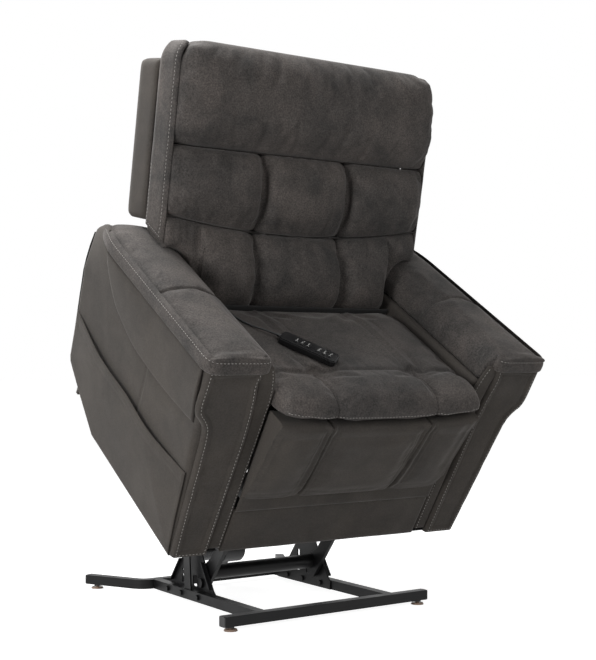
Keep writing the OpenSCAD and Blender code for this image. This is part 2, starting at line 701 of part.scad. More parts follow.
// Cord: chosen route in body coordinates, from the handset to the control box
hand_tail = [
  hand_at[0] - (handset_l / 2 + 9.3) * cos(hand_ang), hand_at[1] - (handset_l / 2 + 9.3) * sin(hand_ang),
  hand_z + handset_t / 2
];
cord_route = [
  hand_tail, hand_tail + [-12, 14, -1], [-206, 226, 471], [-226, 254, 466], [-244, 286, 464],
  [-256, 322, 464], [-262, 358, 465], [-264, 384, 464], [-264, 398, 457], [-264, 402, 442], [-264, 402, 420],
  [-264, 402, 395], [-264, 402, 370], [-262, 402, 345], [-255, 402, 325], [-242, 404, 310],
  [-228, 410, 304], [-220, 418, 303], [-218, 427.7, 303]
];
module handset_cord() {
  n = len(cord_route);
  function dir(i) = let (d = cord_route[min(n - 1, i + 1)] - cord_route[max(0, i - 1)]) d / norm(d);
  function ring(i) = let (
    t = dir(i), a = cross(t, abs(t[0]) < 0.9 ? [1, 0, 0] : [0, 0, 1]), u = a / norm(a), v = cross(t, u)
  ) [for (k = [0:7]) cord_route[i] + cord_d / 2 * (cos(45 * k) * u + sin(45 * k) * v)];
  color(plastic) in_body() skin([for (i = [0:n - 1]) ring(i)]);
}

// ---- Recline actuator, lying front to back under the seat ----
rec_z = crank_j[1];
rec_front = 98;
module recline_actuator() color(plastic) in_body() {
  // Hanger from the seat frame's front rail
  both() along_x(11, 15) difference() {
    polygon([[foot_o[0] + 16, rail_top - 22], [foot_o[0] + 54, rail_top - 22], [rec_front + 12, rec_z - 8], [rec_front, rec_z - 13], [rec_front - 12, rec_z - 8]]);
    translate([rec_front, rec_z]) circle(r = bolt_r + fit);
  }
  rod_x(-19, 19, [rec_front, rec_z], bolt_r);
  difference() {
    union() {
      along_x(-9, 9) {
        translate([rec_front, rec_z]) circle(r = 11);
        translate([rec_front, rec_z - 11]) square([50, 22]);
      }
      rod_x(-26, 26, [165, rec_z], 31);
      rod_x(26, 96, [165, rec_z], 22);
      translate([0, 190, rec_z]) rotate([-90, 0, 0]) cylinder(r = 16, h = 250);
      translate([0, 428, rec_z]) rotate([-90, 0, 0]) cylinder(r = 18, h = 14);
    }
    rod_x(-10, 10, [rec_front, rec_z], bolt_r + fit);
    translate([0, 325, rec_z]) rotate([-90, 0, 0]) cylinder(r = 12, h = 108);
    translate([0, 432, rec_z]) rotate([-90, 0, 0]) cylinder(r = 8.05, h = 12);
  }
}
module recline_rod() color(bright) in_body() {
  translate([0, 400, rec_z]) rotate([-90, 0, 0]) cylinder(r = 8, h = crank_j[0] - 400);
  rod_x(-9, 9, crank_j, 12);
  rod_x(-21, 21, crank_j, bolt_r);
}

// ---- Back ----
back_p = let (d = recline_p - back_o) [
  d[0] * cos(back_lean) - d[1] * sin(back_lean), d[0] * sin(back_lean) + d[1] * cos(back_lean)
];
strap_in = half - 18;
module back_frame() color(steel_black) {
  in_back() {
    both() along_x(strap_in, strap_in + 8) difference() {
      union() {
        translate(back_p) circle(r = 20);
        polygon([
          back_p + [20, 0], [132, row_1 - 90], [132, back_l - 82], [100.5, back_l - 82], [100.5, row_1 - 120],
          back_p + [-20, 0]
        ]);
      }
      translate(back_p) circle(r = pin_r + fit);
    }
    for (s = [row_1 - 70, row_1 + 110, back_l - 110])
      box(-strap_in, strap_in, 102, 127, s, s + 25);
  }
  in_body() {
    rod_x(-strap_in, strap_in, recline_p, 14);
    both() along_x(12, 18) difference() {
      union() {
        bar_2d(recline_p, crank_j, 34);
        translate(recline_p) circle(r = 24);
      }
      slot_2d(
        crank_j + 0.3 * (crank_j - recline_p) / crank_r, crank_j - 5.3 * (crank_j - recline_p) / crank_r,
        bolt_r + 0.8
      );
    }
  }
}

module back_shell() color(cover_dark) in_back() {
  x = back_w / 2 - 3;
  s0 = row_1 - 6;
  s1 = back_l - 50;
  d0 = back_t + 0.5;
  d1 = back_t + shell_t;
  difference() {
    hull() {
      box(-x, x, d0, d1 - 32, s0, s1);
      box(-x + 6, x - 6, d1 - 31, d1 - 12, s0 + 5, s1 - 5);
      box(-x + 28, x - 28, d1 - 11, d1, s0 + 20, s1 - 22);
    }
    box(-x + 14, x - 14, d0 - 1, d1 - 16, s0 + 26, s1 - 28);
    box(-half + 10, half - 10, d0 - 1, 127.5, s0 - 1, s0 + 27);
    both() box(half - 22, half - 8, d0 - 1, 136, s0 - 1, s0 + 27);
  }
  // Lower panel that closes the back between the arms
  box(-half + 24, half - 24, 128, 136, 4, s0 + 1);
}
// Side bands of the cushion stack, one unbroken strip each side
module back_boxing() color(cover) in_back() both() {
  x = back_w / 2;
  along_x(x - 12, x - 4) polygon([[4, 136], [back_t, 170], [back_t, back_l - 64], [30, back_l - 64], [4, back_l - 76]]);
  along_x(x - 4, x) polygon([[9, 143], [back_t - 5, 174], [back_t - 5, back_l - 69], [32, back_l - 69], [9, back_l - 80]]);
}

// One row of back cushions: rings in the [depth, height] plane along x
module back_row(edge, bottom, top, bulge, xs, deep, corner) {
  function bt(x) = bottom[0] + (bottom[1] - bottom[0]) * pow(abs(x) / edge, 2);
  function tp(x) = let (c = max(0, abs(x) - edge + corner)) top - corner + sqrt(max(0, corner * corner - c * c));
  channel = 0.335 * edge;
  function fold(x) = deep * (near(x, channel, 15) + near(x, -channel, 15));
  function side(x) = let (d = edge - abs(x)) d > 70 ? 0 : pow(1 - d / 70, 2.5);
  function ring(x) = let (
    b = bt(x), t = tp(x), f = fold(x), e = side(x), m = (b + t) / 2, h = (t - b) / 2 - 1.5 - 5 * f - 3 * e,
    o = bulge * (1 - 0.8 * f - 0.85 * e)
  ) [for (a = [0:18:342]) let (c = cos(a), s = sin(a))
      c < -0.01 ? [x, o * pw(c, 0.75), m + h * pw(s, 0.7)] : [x, (back_t - 0.3) * pw(max(c, 0), 0.22), m + h * pw(s, 0.22)]];
  skin([for (x = xs) ring(x)]);
}
function row_xs(edge) = let (c = 0.335 * edge) [
  -edge, -edge + 4, -edge + 14, -edge + 35, -edge + 70, -0.6 * edge, -c - 24, -c - 8, -c, -c + 8, -c + 26, -0.12 * edge,
  0.12 * edge, c - 26, c - 8, c, c + 8, c + 24, 0.6 * edge, edge - 70, edge - 35, edge - 14, edge - 4, edge
];
module headrest_cushion() color(cover) in_back() {
  e = back_w / 2 - 12.5;
  back_row(e, [row_2, row_2], back_l, 36, row_xs(e), 0, 62);
}
module middle_back_cushion() color(cover) in_back() {
  e = back_w / 2 - 12.5;
  back_row(e, [row_1 - 16, row_1 + 18], row_2, 26, row_xs(e), 1, 0);
}
// The lowest row drops between the arms and spreads over them above arm height
module lumbar_cushion() {
  e = back_w / 2 - 12.5;
  inner = half - 10;
  wing = 132;
  foot = -35;
  function top(x) = row_1 - 17 + 34 * pow(abs(x) / (back_w / 2 - 12.5), 2);
  function low(x) = abs(x) <= inner ? foot + 14 * pow(abs(x) / inner, 6) : wing + 6 * (abs(x) - inner) / (e - inner);
  channel = 0.335 * (back_w / 2);
  function fold(x) = near(x, channel, 15) + near(x, -channel, 15);
  function side(x) = let (d = e - abs(x)) d > 50 ? 0 : pow(1 - d / 50, 2.5);
  function ring(x) = let (
    b = low(x), t = top(x), f = fold(x), g = side(x), h = (t - b) / 2 - 1.5 - 4 * f, m = (b + t) / 2,
    wide = abs(x) > inner ? 1 : 0, o = (wide == 1 ? 10 : 24) * (1 - 0.8 * f - 0.8 * g)
  ) [for (a = [0:20:340]) let (
      c = cos(a), s = sin(a), front = c < -0.01,
      d = front ? o * pw(c, 0.75) : (back_t - 0.3) * pw(max(c, 0), 0.22),
      z = m + h * pw(s, front ? 0.7 : 0.22),
      lift = max(0, m - z) / max(1, h) * 0.386 * max(0, d) * wide
    ) [x, d, z + min(lift, (t - b) * 0.5)]];
  xs = [inner + 2, inner + 6, inner + 40, e - 25, e - 8, e];
  xi = [0, 60, channel - 26, channel - 8, channel, channel + 8, channel + 26, 190, 240, inner - 12, inner - 3, inner];
  color(cover) in_back() skin(concat(
    [for (i = [5:-1:0]) ring(-xs[i])], [for (i = [11:-1:1]) ring(-xi[i])], [for (x = xi) ring(x)], [for (x = xs) ring(x)]
  ));
}

// ---- Footrest ----
foot_lower = foot_m + [0, foot_gap];
foot_upper = foot_q + [0, foot_gap];
module footrest_arms() color(steel_black) in_body() {
  both() {
    along_x(foot_x, foot_x + 6) difference() {
      bar_2d(foot_o, foot_m, 22);
      translate(foot_o) circle(r = bolt_r + fit);
    }
    rod_x(foot_x - 12, foot_x + 1, foot_m, 5);
    rod_x(foot_x + 5, foot_x + 14, foot_lower, 5);
  }
  rod_x(-foot_x, foot_x, foot_o - [0, 62], 9);
}
module footrest_links() color(steel_black) in_body() {
  both() {
    along_x(foot_x - 8, foot_x - 2) difference() {
      bar_2d(foot_m, foot_q, 20);
      translate(foot_m) circle(r = 5 + fit);
      translate(foot_q) circle(r = 5 + fit);
    }
  }
  rod_x(-foot_x + 8, foot_x - 8, (foot_m + foot_q) / 2, 7);
}
module footrest_board() {
  box(-half + 12, half - 12, -2, 11, 165, 385);
  both() {
    along_x(foot_x, foot_x + 6) polygon([
      [8, 255], [foot_q[0] + 6, 270], [foot_q[0] + 12, 285], [foot_q[0] + 11, 352], [8, 368]
    ]);
    rod_x(foot_x - 12, foot_x + 1, foot_q, 5);
  }
}
module footrest_pad() {
  edge = half - 3;
  xs = [-edge, -edge + 4, -edge + 14, -edge + 45, -channel_x - 60, -channel_x - 22, -channel_x - 7,
    -channel_x, -channel_x + 7, -channel_x + 24, -50, 50, channel_x - 24, channel_x - 7, channel_x,
    channel_x + 7, channel_x + 22, channel_x + 60, edge - 45, edge - 14, edge - 4, edge];
  function tuck(x) = 0.6 * (near(x, channel_x, 15) + near(x, -channel_x, 15));
  function side(x) = let (d = edge - abs(x)) d > 45 ? 0 : 0.75 * pow(1 - d / 45, 2.4);
  function sag(x) = 16 * near(x, 0, half);
  function ring(x) = let (f = 1 - tuck(x) - side(x), s = sag(x)) [
    [x, -2.3, 152], [x, -2.3, 270], [x, -2.3, 398 - s], [x, -20, 400 - s], [x, -30 - 14 * f, 396 - s],
    [x, -20 - 42 * f, 380 - s], [x, -16 - 50 * f, 350], [x, -12 - 48 * f, 310], [x, -10 - 42 * f, 265],
    [x, -9 - 34 * f, 220], [x, -8 - 24 * f, 180], [x, -7 - 12 * f, 158], [x, -8 - 4 * f, 151]
  ];
  color(wood) in_body() footrest_board();
  color(cover) in_body() skin([for (x = xs) ring(x)]);
}

front_rail();
side_rail_left();
side_rail_right();
rear_rail();
rail_end_caps();
levelling_feet();
lift_tower_left();
lift_tower_right();
tower_bolts();
actuator_base_bracket();
base_pivot_pins();
lift_arm_left();
lift_arm_right();
torque_tube();
control_link_left();
control_link_right();
lift_gearbox();
lift_motor();
lift_outer_tube();
lift_rod();
chassis_frame();
chassis_pivot_bolts();
seat_frame();
seat_springs();
seat_cushion();
front_apron();
rear_panel();
control_box();
arm_frame_left();
arm_frame_right();
arm_side_panel_left();
arm_side_panel_right();
arm_front_panel_left();
arm_front_panel_right();
arm_inner_panel_left();
arm_inner_panel_right();
arm_pad_left();
arm_pad_right();
arm_cover_flap_left();
arm_cover_flap_right();
side_pocket();
handset_body();
handset_button_1();
handset_button_2();
handset_button_3();
handset_button_4();
handset_button_5();
handset_button_6();
handset_cord();
recline_actuator();
recline_rod();
back_frame();
back_shell();
back_boxing();
headrest_cushion();
middle_back_cushion();
lumbar_cushion();
footrest_arms();
footrest_links();
footrest_pad();
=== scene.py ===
# %% [markdown]
# A lift recliner is a padded chair that a steel linkage raises and tips forward.
# Its moving parts come ready made as fixed nodes, so this lesson gives them their
# finishes, and builds the upholstery, the thread, the cord and the small printed
# signs around them. Every length is in metres.

# %% Load the frame
import math

import bmesh
import bpy
import numpy as np
from mathutils import Matrix, Vector
from mathutils.bvhtree import BVHTree


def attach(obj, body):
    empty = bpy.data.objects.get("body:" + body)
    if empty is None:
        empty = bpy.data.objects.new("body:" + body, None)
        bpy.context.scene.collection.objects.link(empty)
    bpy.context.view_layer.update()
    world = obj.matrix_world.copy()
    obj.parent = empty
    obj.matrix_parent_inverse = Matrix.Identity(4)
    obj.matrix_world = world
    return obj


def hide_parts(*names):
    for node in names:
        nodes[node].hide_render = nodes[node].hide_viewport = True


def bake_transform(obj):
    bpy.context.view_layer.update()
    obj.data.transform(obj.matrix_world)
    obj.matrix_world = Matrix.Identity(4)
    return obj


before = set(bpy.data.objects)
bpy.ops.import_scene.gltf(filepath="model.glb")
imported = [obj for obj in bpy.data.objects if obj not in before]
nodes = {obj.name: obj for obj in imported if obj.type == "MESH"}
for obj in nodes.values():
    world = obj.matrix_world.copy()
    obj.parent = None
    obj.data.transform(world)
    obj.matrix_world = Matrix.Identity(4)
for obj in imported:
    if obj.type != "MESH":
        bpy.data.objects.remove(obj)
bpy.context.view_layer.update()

# %% [markdown]
# The chair stands raised, with its body tipped 32 degrees forward, and the back
# leans 21 degrees back from the body. Upholstery is far easier to think about
# upright. So three matrices carry points between the upright drawing and the
# raised chair: one for the body, one for the back and one for the handset. A few
# measures that many pieces share follow them: half the width between the arms,
# the outer edge, top and foot of an arm, and the rear of the body.

# %% The upright drawing and the raised chair
body = Matrix.Translation((0, -0.178999, 0.19298)) @ Matrix.Rotation(math.radians(32), 4, "X")
back = body @ Matrix.Translation((0, 0.431, 0.433)) @ Matrix.Rotation(math.radians(-21), 4, "X")
hand = body @ Matrix.Translation((-0.130, 0.140, 0.464)) @ Matrix.Rotation(math.radians(-50), 4, "Z")
half = 0.298
outside = 0.502
arm_top = 0.545
arm_foot = -0.012
body_back = 0.695
print("body origin", tuple(round(v, 4) for v in body.translation))

# %% [markdown]
# The camera stands low and to the sitter's right, at the distance that gives the
# chair its gentle perspective. The lens is a long one, and a small shift sets the
# chair in the middle of the frame without turning the camera.

# %% Camera
sensor = 36.0
wide_pixels, focal_pixels, right_pixels, up_pixels = 596, 1245.6, 13.8, 2.0
lens = bpy.data.cameras.new("camera")
lens.sensor_width = sensor
lens.sensor_fit = "HORIZONTAL"
lens.lens = focal_pixels / wide_pixels * sensor
lens.shift_x = right_pixels / wide_pixels
lens.shift_y = up_pixels / wide_pixels
camera = bpy.data.objects.new("camera", lens)
aim = Vector((0, -0.014, 0.7134))
turn, rise, reach = math.radians(-34.07), math.radians(-1.2), 3.286
away = Vector((math.sin(turn) * math.cos(rise), -math.cos(turn) * math.cos(rise), math.sin(rise)))
camera.location = aim + reach * away
camera.rotation_euler = (aim - camera.location).to_track_quat("-Z", "Y").to_euler()
bpy.context.scene.collection.objects.link(camera)
bpy.context.scene.camera = camera
print("camera", tuple(round(v, 3) for v in camera.location))

# %% [markdown]
# The handset cord is a limp 5 mm cable. It leaves the handset, lies on the seat,
# drops behind the cushion and plugs into the control box. A curve with a round
# bevel is the simplest true cord: its points are the route itself, and the tube
# is taken from it as a mesh. A Catmull-Rom spline adds points, so bends stay soft.

# %% Smooth lines through a few points
def smooth_line(points, steps=6, closed=False):
    """Points of a Catmull-Rom spline through the given ones."""
    points = [Vector(p) for p in points]
    n = len(points)
    line = []
    for i in range(n if closed else n - 1):
        if closed:
            p = [points[(i + k) % n] for k in (-1, 0, 1, 2)]
        else:
            p = [points[max(0, min(n - 1, i + k))] for k in (-1, 0, 1, 2)]
        for s in range(steps):
            t = s / steps
            line.append(0.5 * (2 * p[1] + (p[2] - p[0]) * t
                               + (2 * p[0] - 5 * p[1] + 4 * p[2] - p[3]) * t ** 2
                               + (3 * p[1] - p[0] - 3 * p[2] + p[3]) * t ** 3))
    if not closed:
        line.append(points[-1])
    return line


def line_length(points):
    return sum((b - a).length for a, b in zip(points, points[1:]))

# %% Handset cord
cord_stops = [
    (-184.19, 204.58, 471.5), (-196.19, 218.58, 470.5), (-206, 226, 471), (-226, 254, 466),
    (-244, 286, 464), (-256, 322, 464), (-262, 358, 465), (-264, 384, 464), (-264, 398, 457),
    (-264, 402, 442), (-264, 402, 420), (-264, 402, 395), (-264, 402, 370), (-262, 402, 345),
    (-255, 402, 325), (-242, 404, 310), (-228, 410, 304), (-220, 418, 303), (-218, 427.7, 303)]
cord_line = [body @ (p * 0.001) for p in smooth_line(cord_stops, 3)]
path = bpy.data.curves.new("handset_cord_line", "CURVE")
path.dimensions = "3D"
path.bevel_depth = 0.0025
path.bevel_resolution = 4
path.use_fill_caps = True
spline = path.splines.new("POLY")
spline.points.add(len(cord_line) - 1)
for point, co in zip(spline.points, cord_line):
    point.co = (*co, 1)
drawn = bpy.data.objects.new("handset_cord_line", path)
bpy.context.scene.collection.objects.link(drawn)
tube = bpy.data.meshes.new_from_object(drawn.evaluated_get(bpy.context.evaluated_depsgraph_get()))
bpy.data.objects.remove(drawn)
tube.polygons.foreach_set("use_smooth", [True] * len(tube.polygons))
cord = bpy.data.objects.new("handset_cord_cable", tube)
bpy.context.scene.collection.objects.link(cord)
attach(cord, "chair_body")
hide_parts("handset_cord")

# %% [markdown]
# Finishes come next. Grain and mottling serve several materials, so each is a
# shader node group, built once, that gives only colours, masks and heights. The
# Principled shader itself stays in each material, where its sheen and metal values
# are set directly on its sockets.

# %% Helpers for node groups and materials
def new_group(name, inputs, outputs):
    """An empty shader node group with named sockets, and its two end nodes."""
    group = bpy.data.node_groups.new(name, "ShaderNodeTree")
    for label, kind, value in inputs:
        group.interface.new_socket(label, in_out="INPUT", socket_type=kind).default_value = value
    for label, kind in outputs:
        group.interface.new_socket(label, in_out="OUTPUT", socket_type=kind)
    return group, group.nodes.new("NodeGroupInput"), group.nodes.new("NodeGroupOutput")


def add(tree, kind, links=(), **values):
    """Adds a node, sets its properties or sockets by name, and links its inputs."""
    node = tree.nodes.new(kind)
    for key, value in values.items():
        label = key.replace("_", " ")
        if label in node.inputs:
            node.inputs[label].default_value = value
        else:
            setattr(node, key, value)
    for socket, source in links:
        tree.links.new(source, node.inputs[socket])
    return node


def noise(tree, vector, scale, detail=3.0, roughness=0.55, distortion=0.0):
    node = add(tree, "ShaderNodeTexNoise", [("Vector", vector)])
    node.inputs["Scale"].default_value = scale
    node.inputs["Detail"].default_value = detail
    node.inputs["Roughness"].default_value = roughness
    node.inputs["Distortion"].default_value = distortion
    return node.outputs["Fac"]


def ramp(tree, value, low, high, to_low=0.0, to_high=1.0):
    """Stretches a value from low..high to new ends, and clamps it."""
    node = add(tree, "ShaderNodeMapRange", [("Value", value)])
    for label, number in (("From Min", low), ("From Max", high), ("To Min", to_low), ("To Max", to_high)):
        node.inputs[label].default_value = number
    return node.outputs["Result"]


def sums(tree, operation, a, b, c=None):
    node = tree.nodes.new("ShaderNodeMath")
    node.operation = operation
    for socket, value in zip(node.inputs, (a, b, c)):
        if value is None:
            continue
        if isinstance(value, (int, float)):
            socket.default_value = value
        else:
            tree.links.new(value, socket)
    return node.outputs[0]


def blended(tree, factor, a, b, how="MIX"):
    """Mixes two colours, each a socket or a constant."""
    node = tree.nodes.new("ShaderNodeMix")
    node.data_type = "RGBA"
    node.blend_type = how
    for socket, value in ((node.inputs[0], factor), (node.inputs[6], a), (node.inputs[7], b)):
        if isinstance(value, bpy.types.NodeSocket):
            tree.links.new(value, socket)
        else:
            socket.default_value = value
    return node.outputs[2]


def rgb(r, g, b):
    return (r, g, b, 1.0)

# %% [markdown]
# The cover is a brushed faux suede. Its colour drifts between charcoal and a warm
# brown in cloudy patches as wide as a hand, it is speckled close up, and stroking
# the nap leaves lighter streaks. Layered noise at these three sizes gives that
# without an image, and the finest one also lifts the surface a little.

# %% Suede nap group
suede_nap, inlet, outlet = new_group(
    "Suede nap",
    [("Charcoal", "NodeSocketColor", rgb(0.043, 0.041, 0.040)),
     ("Brown", "NodeSocketColor", rgb(0.098, 0.086, 0.080)),
     ("Worn", "NodeSocketColor", rgb(0.105, 0.098, 0.093)),
     ("Patches", "NodeSocketFloat", 0.35), ("Grain", "NodeSocketFloat", 1.0)],
    [("Color", "NodeSocketColor"), ("Roughness", "NodeSocketFloat"), ("Height", "NodeSocketFloat")])
t = suede_nap
where = add(t, "ShaderNodeTexCoord").outputs["Object"]
drift = noise(t, where, 4.5, 3, 0.55, 0.8)
clouds = noise(t, where, 15, 5, 0.62, 0.5)
strokes = noise(t, add(t, "ShaderNodeMapping", [("Vector", where)], Scale=(1.0, 2.6, 0.8)).outputs[0],
                22, 4, 0.6, 1.2)
speckle = noise(t, where, 260, 3, 0.7)
pile = noise(t, where, 1500, 1, 0.5)
mottle = ramp(t, sums(t, "MULTIPLY_ADD", drift, 0.6, sums(t, "MULTIPLY", clouds, 0.4)), 0.38, 0.62)
base = blended(t, mottle, inlet.outputs["Charcoal"], inlet.outputs["Brown"])
streaks = sums(t, "MULTIPLY", ramp(t, strokes, 0.50, 0.74), inlet.outputs["Patches"])
base = blended(t, streaks, base, inlet.outputs["Worn"])
grains = blended(t, ramp(t, speckle, 0.32, 0.68), rgb(0.50, 0.50, 0.50), rgb(1.52, 1.50, 1.47))
t.links.new(blended(t, inlet.outputs["Grain"], base, grains, "MULTIPLY"), outlet.inputs["Color"])
t.links.new(ramp(t, clouds, 0.3, 0.7, 0.90, 0.74), outlet.inputs["Roughness"])
t.links.new(sums(t, "ADD", sums(t, "MULTIPLY", pile, 0.5), sums(t, "MULTIPLY", speckle, 0.5)),
            outlet.inputs["Height"])
print("group", t.name, len(t.nodes), "nodes")

# %% [markdown]
# Powder coat and moulded plastic both have a fine skin: powder flows into a faint
# orange peel, and a mould leaves a leathery spark texture. One group serves both,
# with its own grain size, and tints the colour slightly so that no face is flat.

# %% Fine skin group
fine_skin, inlet, outlet = new_group(
    "Fine skin",
    [("Color", "NodeSocketColor", rgb(0.02, 0.02, 0.022)),
     ("Dust", "NodeSocketColor", rgb(0.09, 0.088, 0.085)), ("Grain", "NodeSocketFloat", 900.0),
     ("Dust amount", "NodeSocketFloat", 0.25), ("Gloss", "NodeSocketFloat", 0.4)],
    [("Color", "NodeSocketColor"), ("Roughness", "NodeSocketFloat"), ("Height", "NodeSocketFloat")])
t = fine_skin
where = add(t, "ShaderNodeTexCoord").outputs["Object"]
peel = add(t, "ShaderNodeTexNoise", [("Vector", where), ("Scale", inlet.outputs["Grain"])],
           Detail=2.0, Roughness=0.5)
film = noise(t, where, 12, 4, 0.6, 0.4)
settled = sums(t, "MULTIPLY", ramp(t, film, 0.45, 0.75), inlet.outputs["Dust amount"])
t.links.new(blended(t, settled, inlet.outputs["Color"], inlet.outputs["Dust"]), outlet.inputs["Color"])
t.links.new(sums(t, "ADD", inlet.outputs["Gloss"], ramp(t, film, 0.35, 0.7, -0.05, 0.12)),
            outlet.inputs["Roughness"])
t.links.new(peel.outputs["Fac"], outlet.inputs["Height"])
print("group", t.name, len(t.nodes), "nodes")

# %% [markdown]
# A material is then short: the group gives colour, roughness and height, and the
# shader gets its own fixed values. Steel also takes a Bevel node, which rounds
# the look of a sharp edge so that it catches a thin line of light.

# %% Material maker
def finish(name, group, bump, depth, edge=0.0, values=None, **shader):
    """A material whose colour, roughness and bump come from a group."""
    material = bpy.data.materials.new(name)
    material.use_nodes = True
    tree = material.node_tree
    principled = tree.nodes["Principled BSDF"]
    source = tree.nodes.new("ShaderNodeGroup")
    source.node_tree = group
    for label, value in (values or {}).items():
        source.inputs[label].default_value = value
    tree.links.new(source.outputs["Color"], principled.inputs["Base Color"])
    tree.links.new(source.outputs["Roughness"], principled.inputs["Roughness"])
    relief = add(tree, "ShaderNodeBump", [("Height", source.outputs["Height"])],
                 Strength=bump, Distance=depth)
    if edge:
        rounded = add(tree, "ShaderNodeBevel", samples=4, Radius=edge)
        tree.links.new(rounded.outputs["Normal"], relief.inputs["Normal"])
    tree.links.new(relief.outputs["Normal"], principled.inputs["Normal"])
    for label, value in shader.items():
        principled.inputs[label.replace("_", " ")].default_value = value
    return material


suede = finish("brushed suede", suede_nap, 0.35, 0.0006, Sheen_Weight=0.22, Sheen_Roughness=0.4,
               Sheen_Tint=rgb(0.85, 0.82, 0.80), Specular_IOR_Level=0.25)
suede_plain = finish("brushed suede, smooth panels", suede_nap, 0.3, 0.0006,
                     values={"Patches": 0.12, "Grain": 0.35, "Charcoal": rgb(0.058, 0.052, 0.047),
                             "Brown": rgb(0.071, 0.062, 0.054)},
                     Sheen_Weight=0.2, Sheen_Roughness=0.45, Sheen_Tint=rgb(0.85, 0.82, 0.80),
                     Specular_IOR_Level=0.22)
powder = finish("black powder coat", fine_skin, 0.12, 0.0004, 0.0012,
                {"Color": rgb(0.008, 0.008, 0.0085), "Gloss": 0.38, "Dust amount": 0.04},
                Specular_IOR_Level=0.2)
motor_paint = finish("satin motor paint", fine_skin, 0.1, 0.0004, 0.001,
                     {"Color": rgb(0.035, 0.035, 0.038), "Gloss": 0.30, "Dust amount": 0.1})
glide = finish("tan nylon glide", fine_skin, 0.1, 0.0003, 0.0006,
               {"Color": rgb(0.30, 0.20, 0.145), "Gloss": 0.35, "Dust amount": 0.1})
plastic = finish("moulded black plastic", fine_skin, 0.25, 0.0004, 0.0008,
                 {"Color": rgb(0.016, 0.016, 0.017), "Grain": 1600.0, "Gloss": 0.42, "Dust amount": 0.08})
handset_gloss = finish("handset plastic", fine_skin, 0.08, 0.0003, 0.0006,
                       {"Color": rgb(0.010, 0.010, 0.011), "Grain": 2200.0, "Gloss": 0.26,
                        "Dust amount": 0.04})
print("materials", len(bpy.data.materials))

# %% [markdown]
# Zinc plate is a bright metal with soft cloudy stains, and thread is twisted. The timber of the inner frames
# is covered by a near-black fleece-like cloth, whose dark colour is painted shade for these hidden frames.
# Each of these finishes is one noise pattern between two colours. It is used by a single
# material, so its nodes sit in the material itself.

# %% Zinc, thread, near-black cloth with painted shade, and print
def plain_material(name):
    material = bpy.data.materials.new(name)
    material.use_nodes = True
    return material, material.node_tree, material.node_tree.nodes["Principled BSDF"]


def mottled(name, pattern, spread, dark, light, rough, bump=0.0, depth=0.0003, fine=None):
    """One noise pattern gives colour and roughness; the bump may have a finer one."""
    material, tree, principled = plain_material(name)
    where = add(tree, "ShaderNodeTexCoord").outputs["Object"]
    spots = noise(tree, where, *pattern)
    tree.links.new(blended(tree, ramp(tree, spots, *spread), rgb(*dark), rgb(*light)),
                   principled.inputs["Base Color"])
    tree.links.new(ramp(tree, spots, 0.3, 0.7, *rough), principled.inputs["Roughness"])
    if bump:
        grain = noise(tree, where, *fine) if fine else spots
        relief = add(tree, "ShaderNodeBump", [("Height", grain)], Strength=bump, Distance=depth)
        tree.links.new(relief.outputs["Normal"], principled.inputs["Normal"])
    return material, principled


zinc, shader = mottled("bright zinc plate", (60, 4, 0.6, 0.5), (0.35, 0.65), (0.42, 0.43, 0.45),
                       (0.66, 0.66, 0.66), (0.28, 0.45), 0.08, fine=(900, 2))
shader.inputs["Metallic"].default_value = 1.0
thread = mottled("pale grey thread", (1400, 2, 0.6), (0.3, 0.7), (0.28, 0.265, 0.25),
                 (0.50, 0.475, 0.45), (0.8, 0.65), 0.3)[0]
# Near-black cloth: its dark colour is painted shade on the hidden timber frames, the arm ends and the seat
# crevice.
painted_shade_cloth = mottled("black cloth with painted shade", (700, 3, 0.7), (0.3, 0.7), (0.010, 0.010, 0.010),
                     (0.026, 0.025, 0.025), (0.95, 0.85), 0.3, 0.0004)[0]
print_white = mottled("white printed signs", (900, 2, 0.5), (0.35, 0.6), (0.62, 0.62, 0.60),
                      (0.80, 0.80, 0.78), (0.5, 0.5))[0]
print("materials", len(bpy.data.materials))

# %% [markdown]
# Every rigid CAD piece keeps its shape and takes the finish that its maker gives
# it: powder coat on the welded steel and its bolts, zinc on rods and springs, and
# moulded plastic on caps, feet and drive housings. Each foot stands on a tan glide.

# %% Finishes of the rigid pieces
glide_top = 0.0065
finishes = [
    (powder, """front_rail side_rail_left side_rail_right rear_rail lift_tower_left lift_tower_right
        actuator_base_bracket lift_arm_left lift_arm_right torque_tube control_link_left
        control_link_right chassis_frame back_frame footrest_arms footrest_links
        tower_bolts base_pivot_pins chassis_pivot_bolts"""),
    (zinc, "lift_rod recline_rod seat_springs"),
    (plastic, "rail_end_caps levelling_feet lift_gearbox control_box recline_actuator"),
    (handset_gloss, """handset_body handset_button_1 handset_button_2 handset_button_3
        handset_button_4 handset_button_5 handset_button_6"""),
    (motor_paint, "lift_motor lift_outer_tube"),
    # The timber frames take the near-black cloth, whose colour is painted shade.
    (painted_shade_cloth, "seat_frame arm_frame_left arm_frame_right")]
for material, names in finishes:
    for name in names.split():
        for place in nodes[name].material_slots:
            place.material = material
feet = nodes["levelling_feet"].data
feet.materials.append(glide)
for polygon in feet.polygons:
    if polygon.center.z < glide_top:
        polygon.material_index = len(feet.materials) - 1
tube.materials.append(plastic)
print("finished rigid pieces", sum(len(names.split()) for material, names in finishes))

# %% [markdown]
# Padded pieces are foam in a sewn cover. Each one starts from its CAD solid, is
# remeshed to small even quads, and is then blown up a little as cloth: the sewn
# lines are held still and the panels between them swell, so the puckers beside a
# seam come from the cloth itself. The seams are cut in afterwards, when the mesh
# is fine enough to hold them.

# %% Copying, applying and measuring meshes
def add_piece(name, bm, ride_on):
    """Turns a bmesh into an object that rides on a body."""
    mesh = bpy.data.meshes.new(name)
    bm.to_mesh(mesh)
    bm.free()
    piece = bpy.data.objects.new(name, mesh)
    bpy.context.scene.collection.objects.link(piece)
    if ride_on:
        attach(piece, ride_on)
    return piece


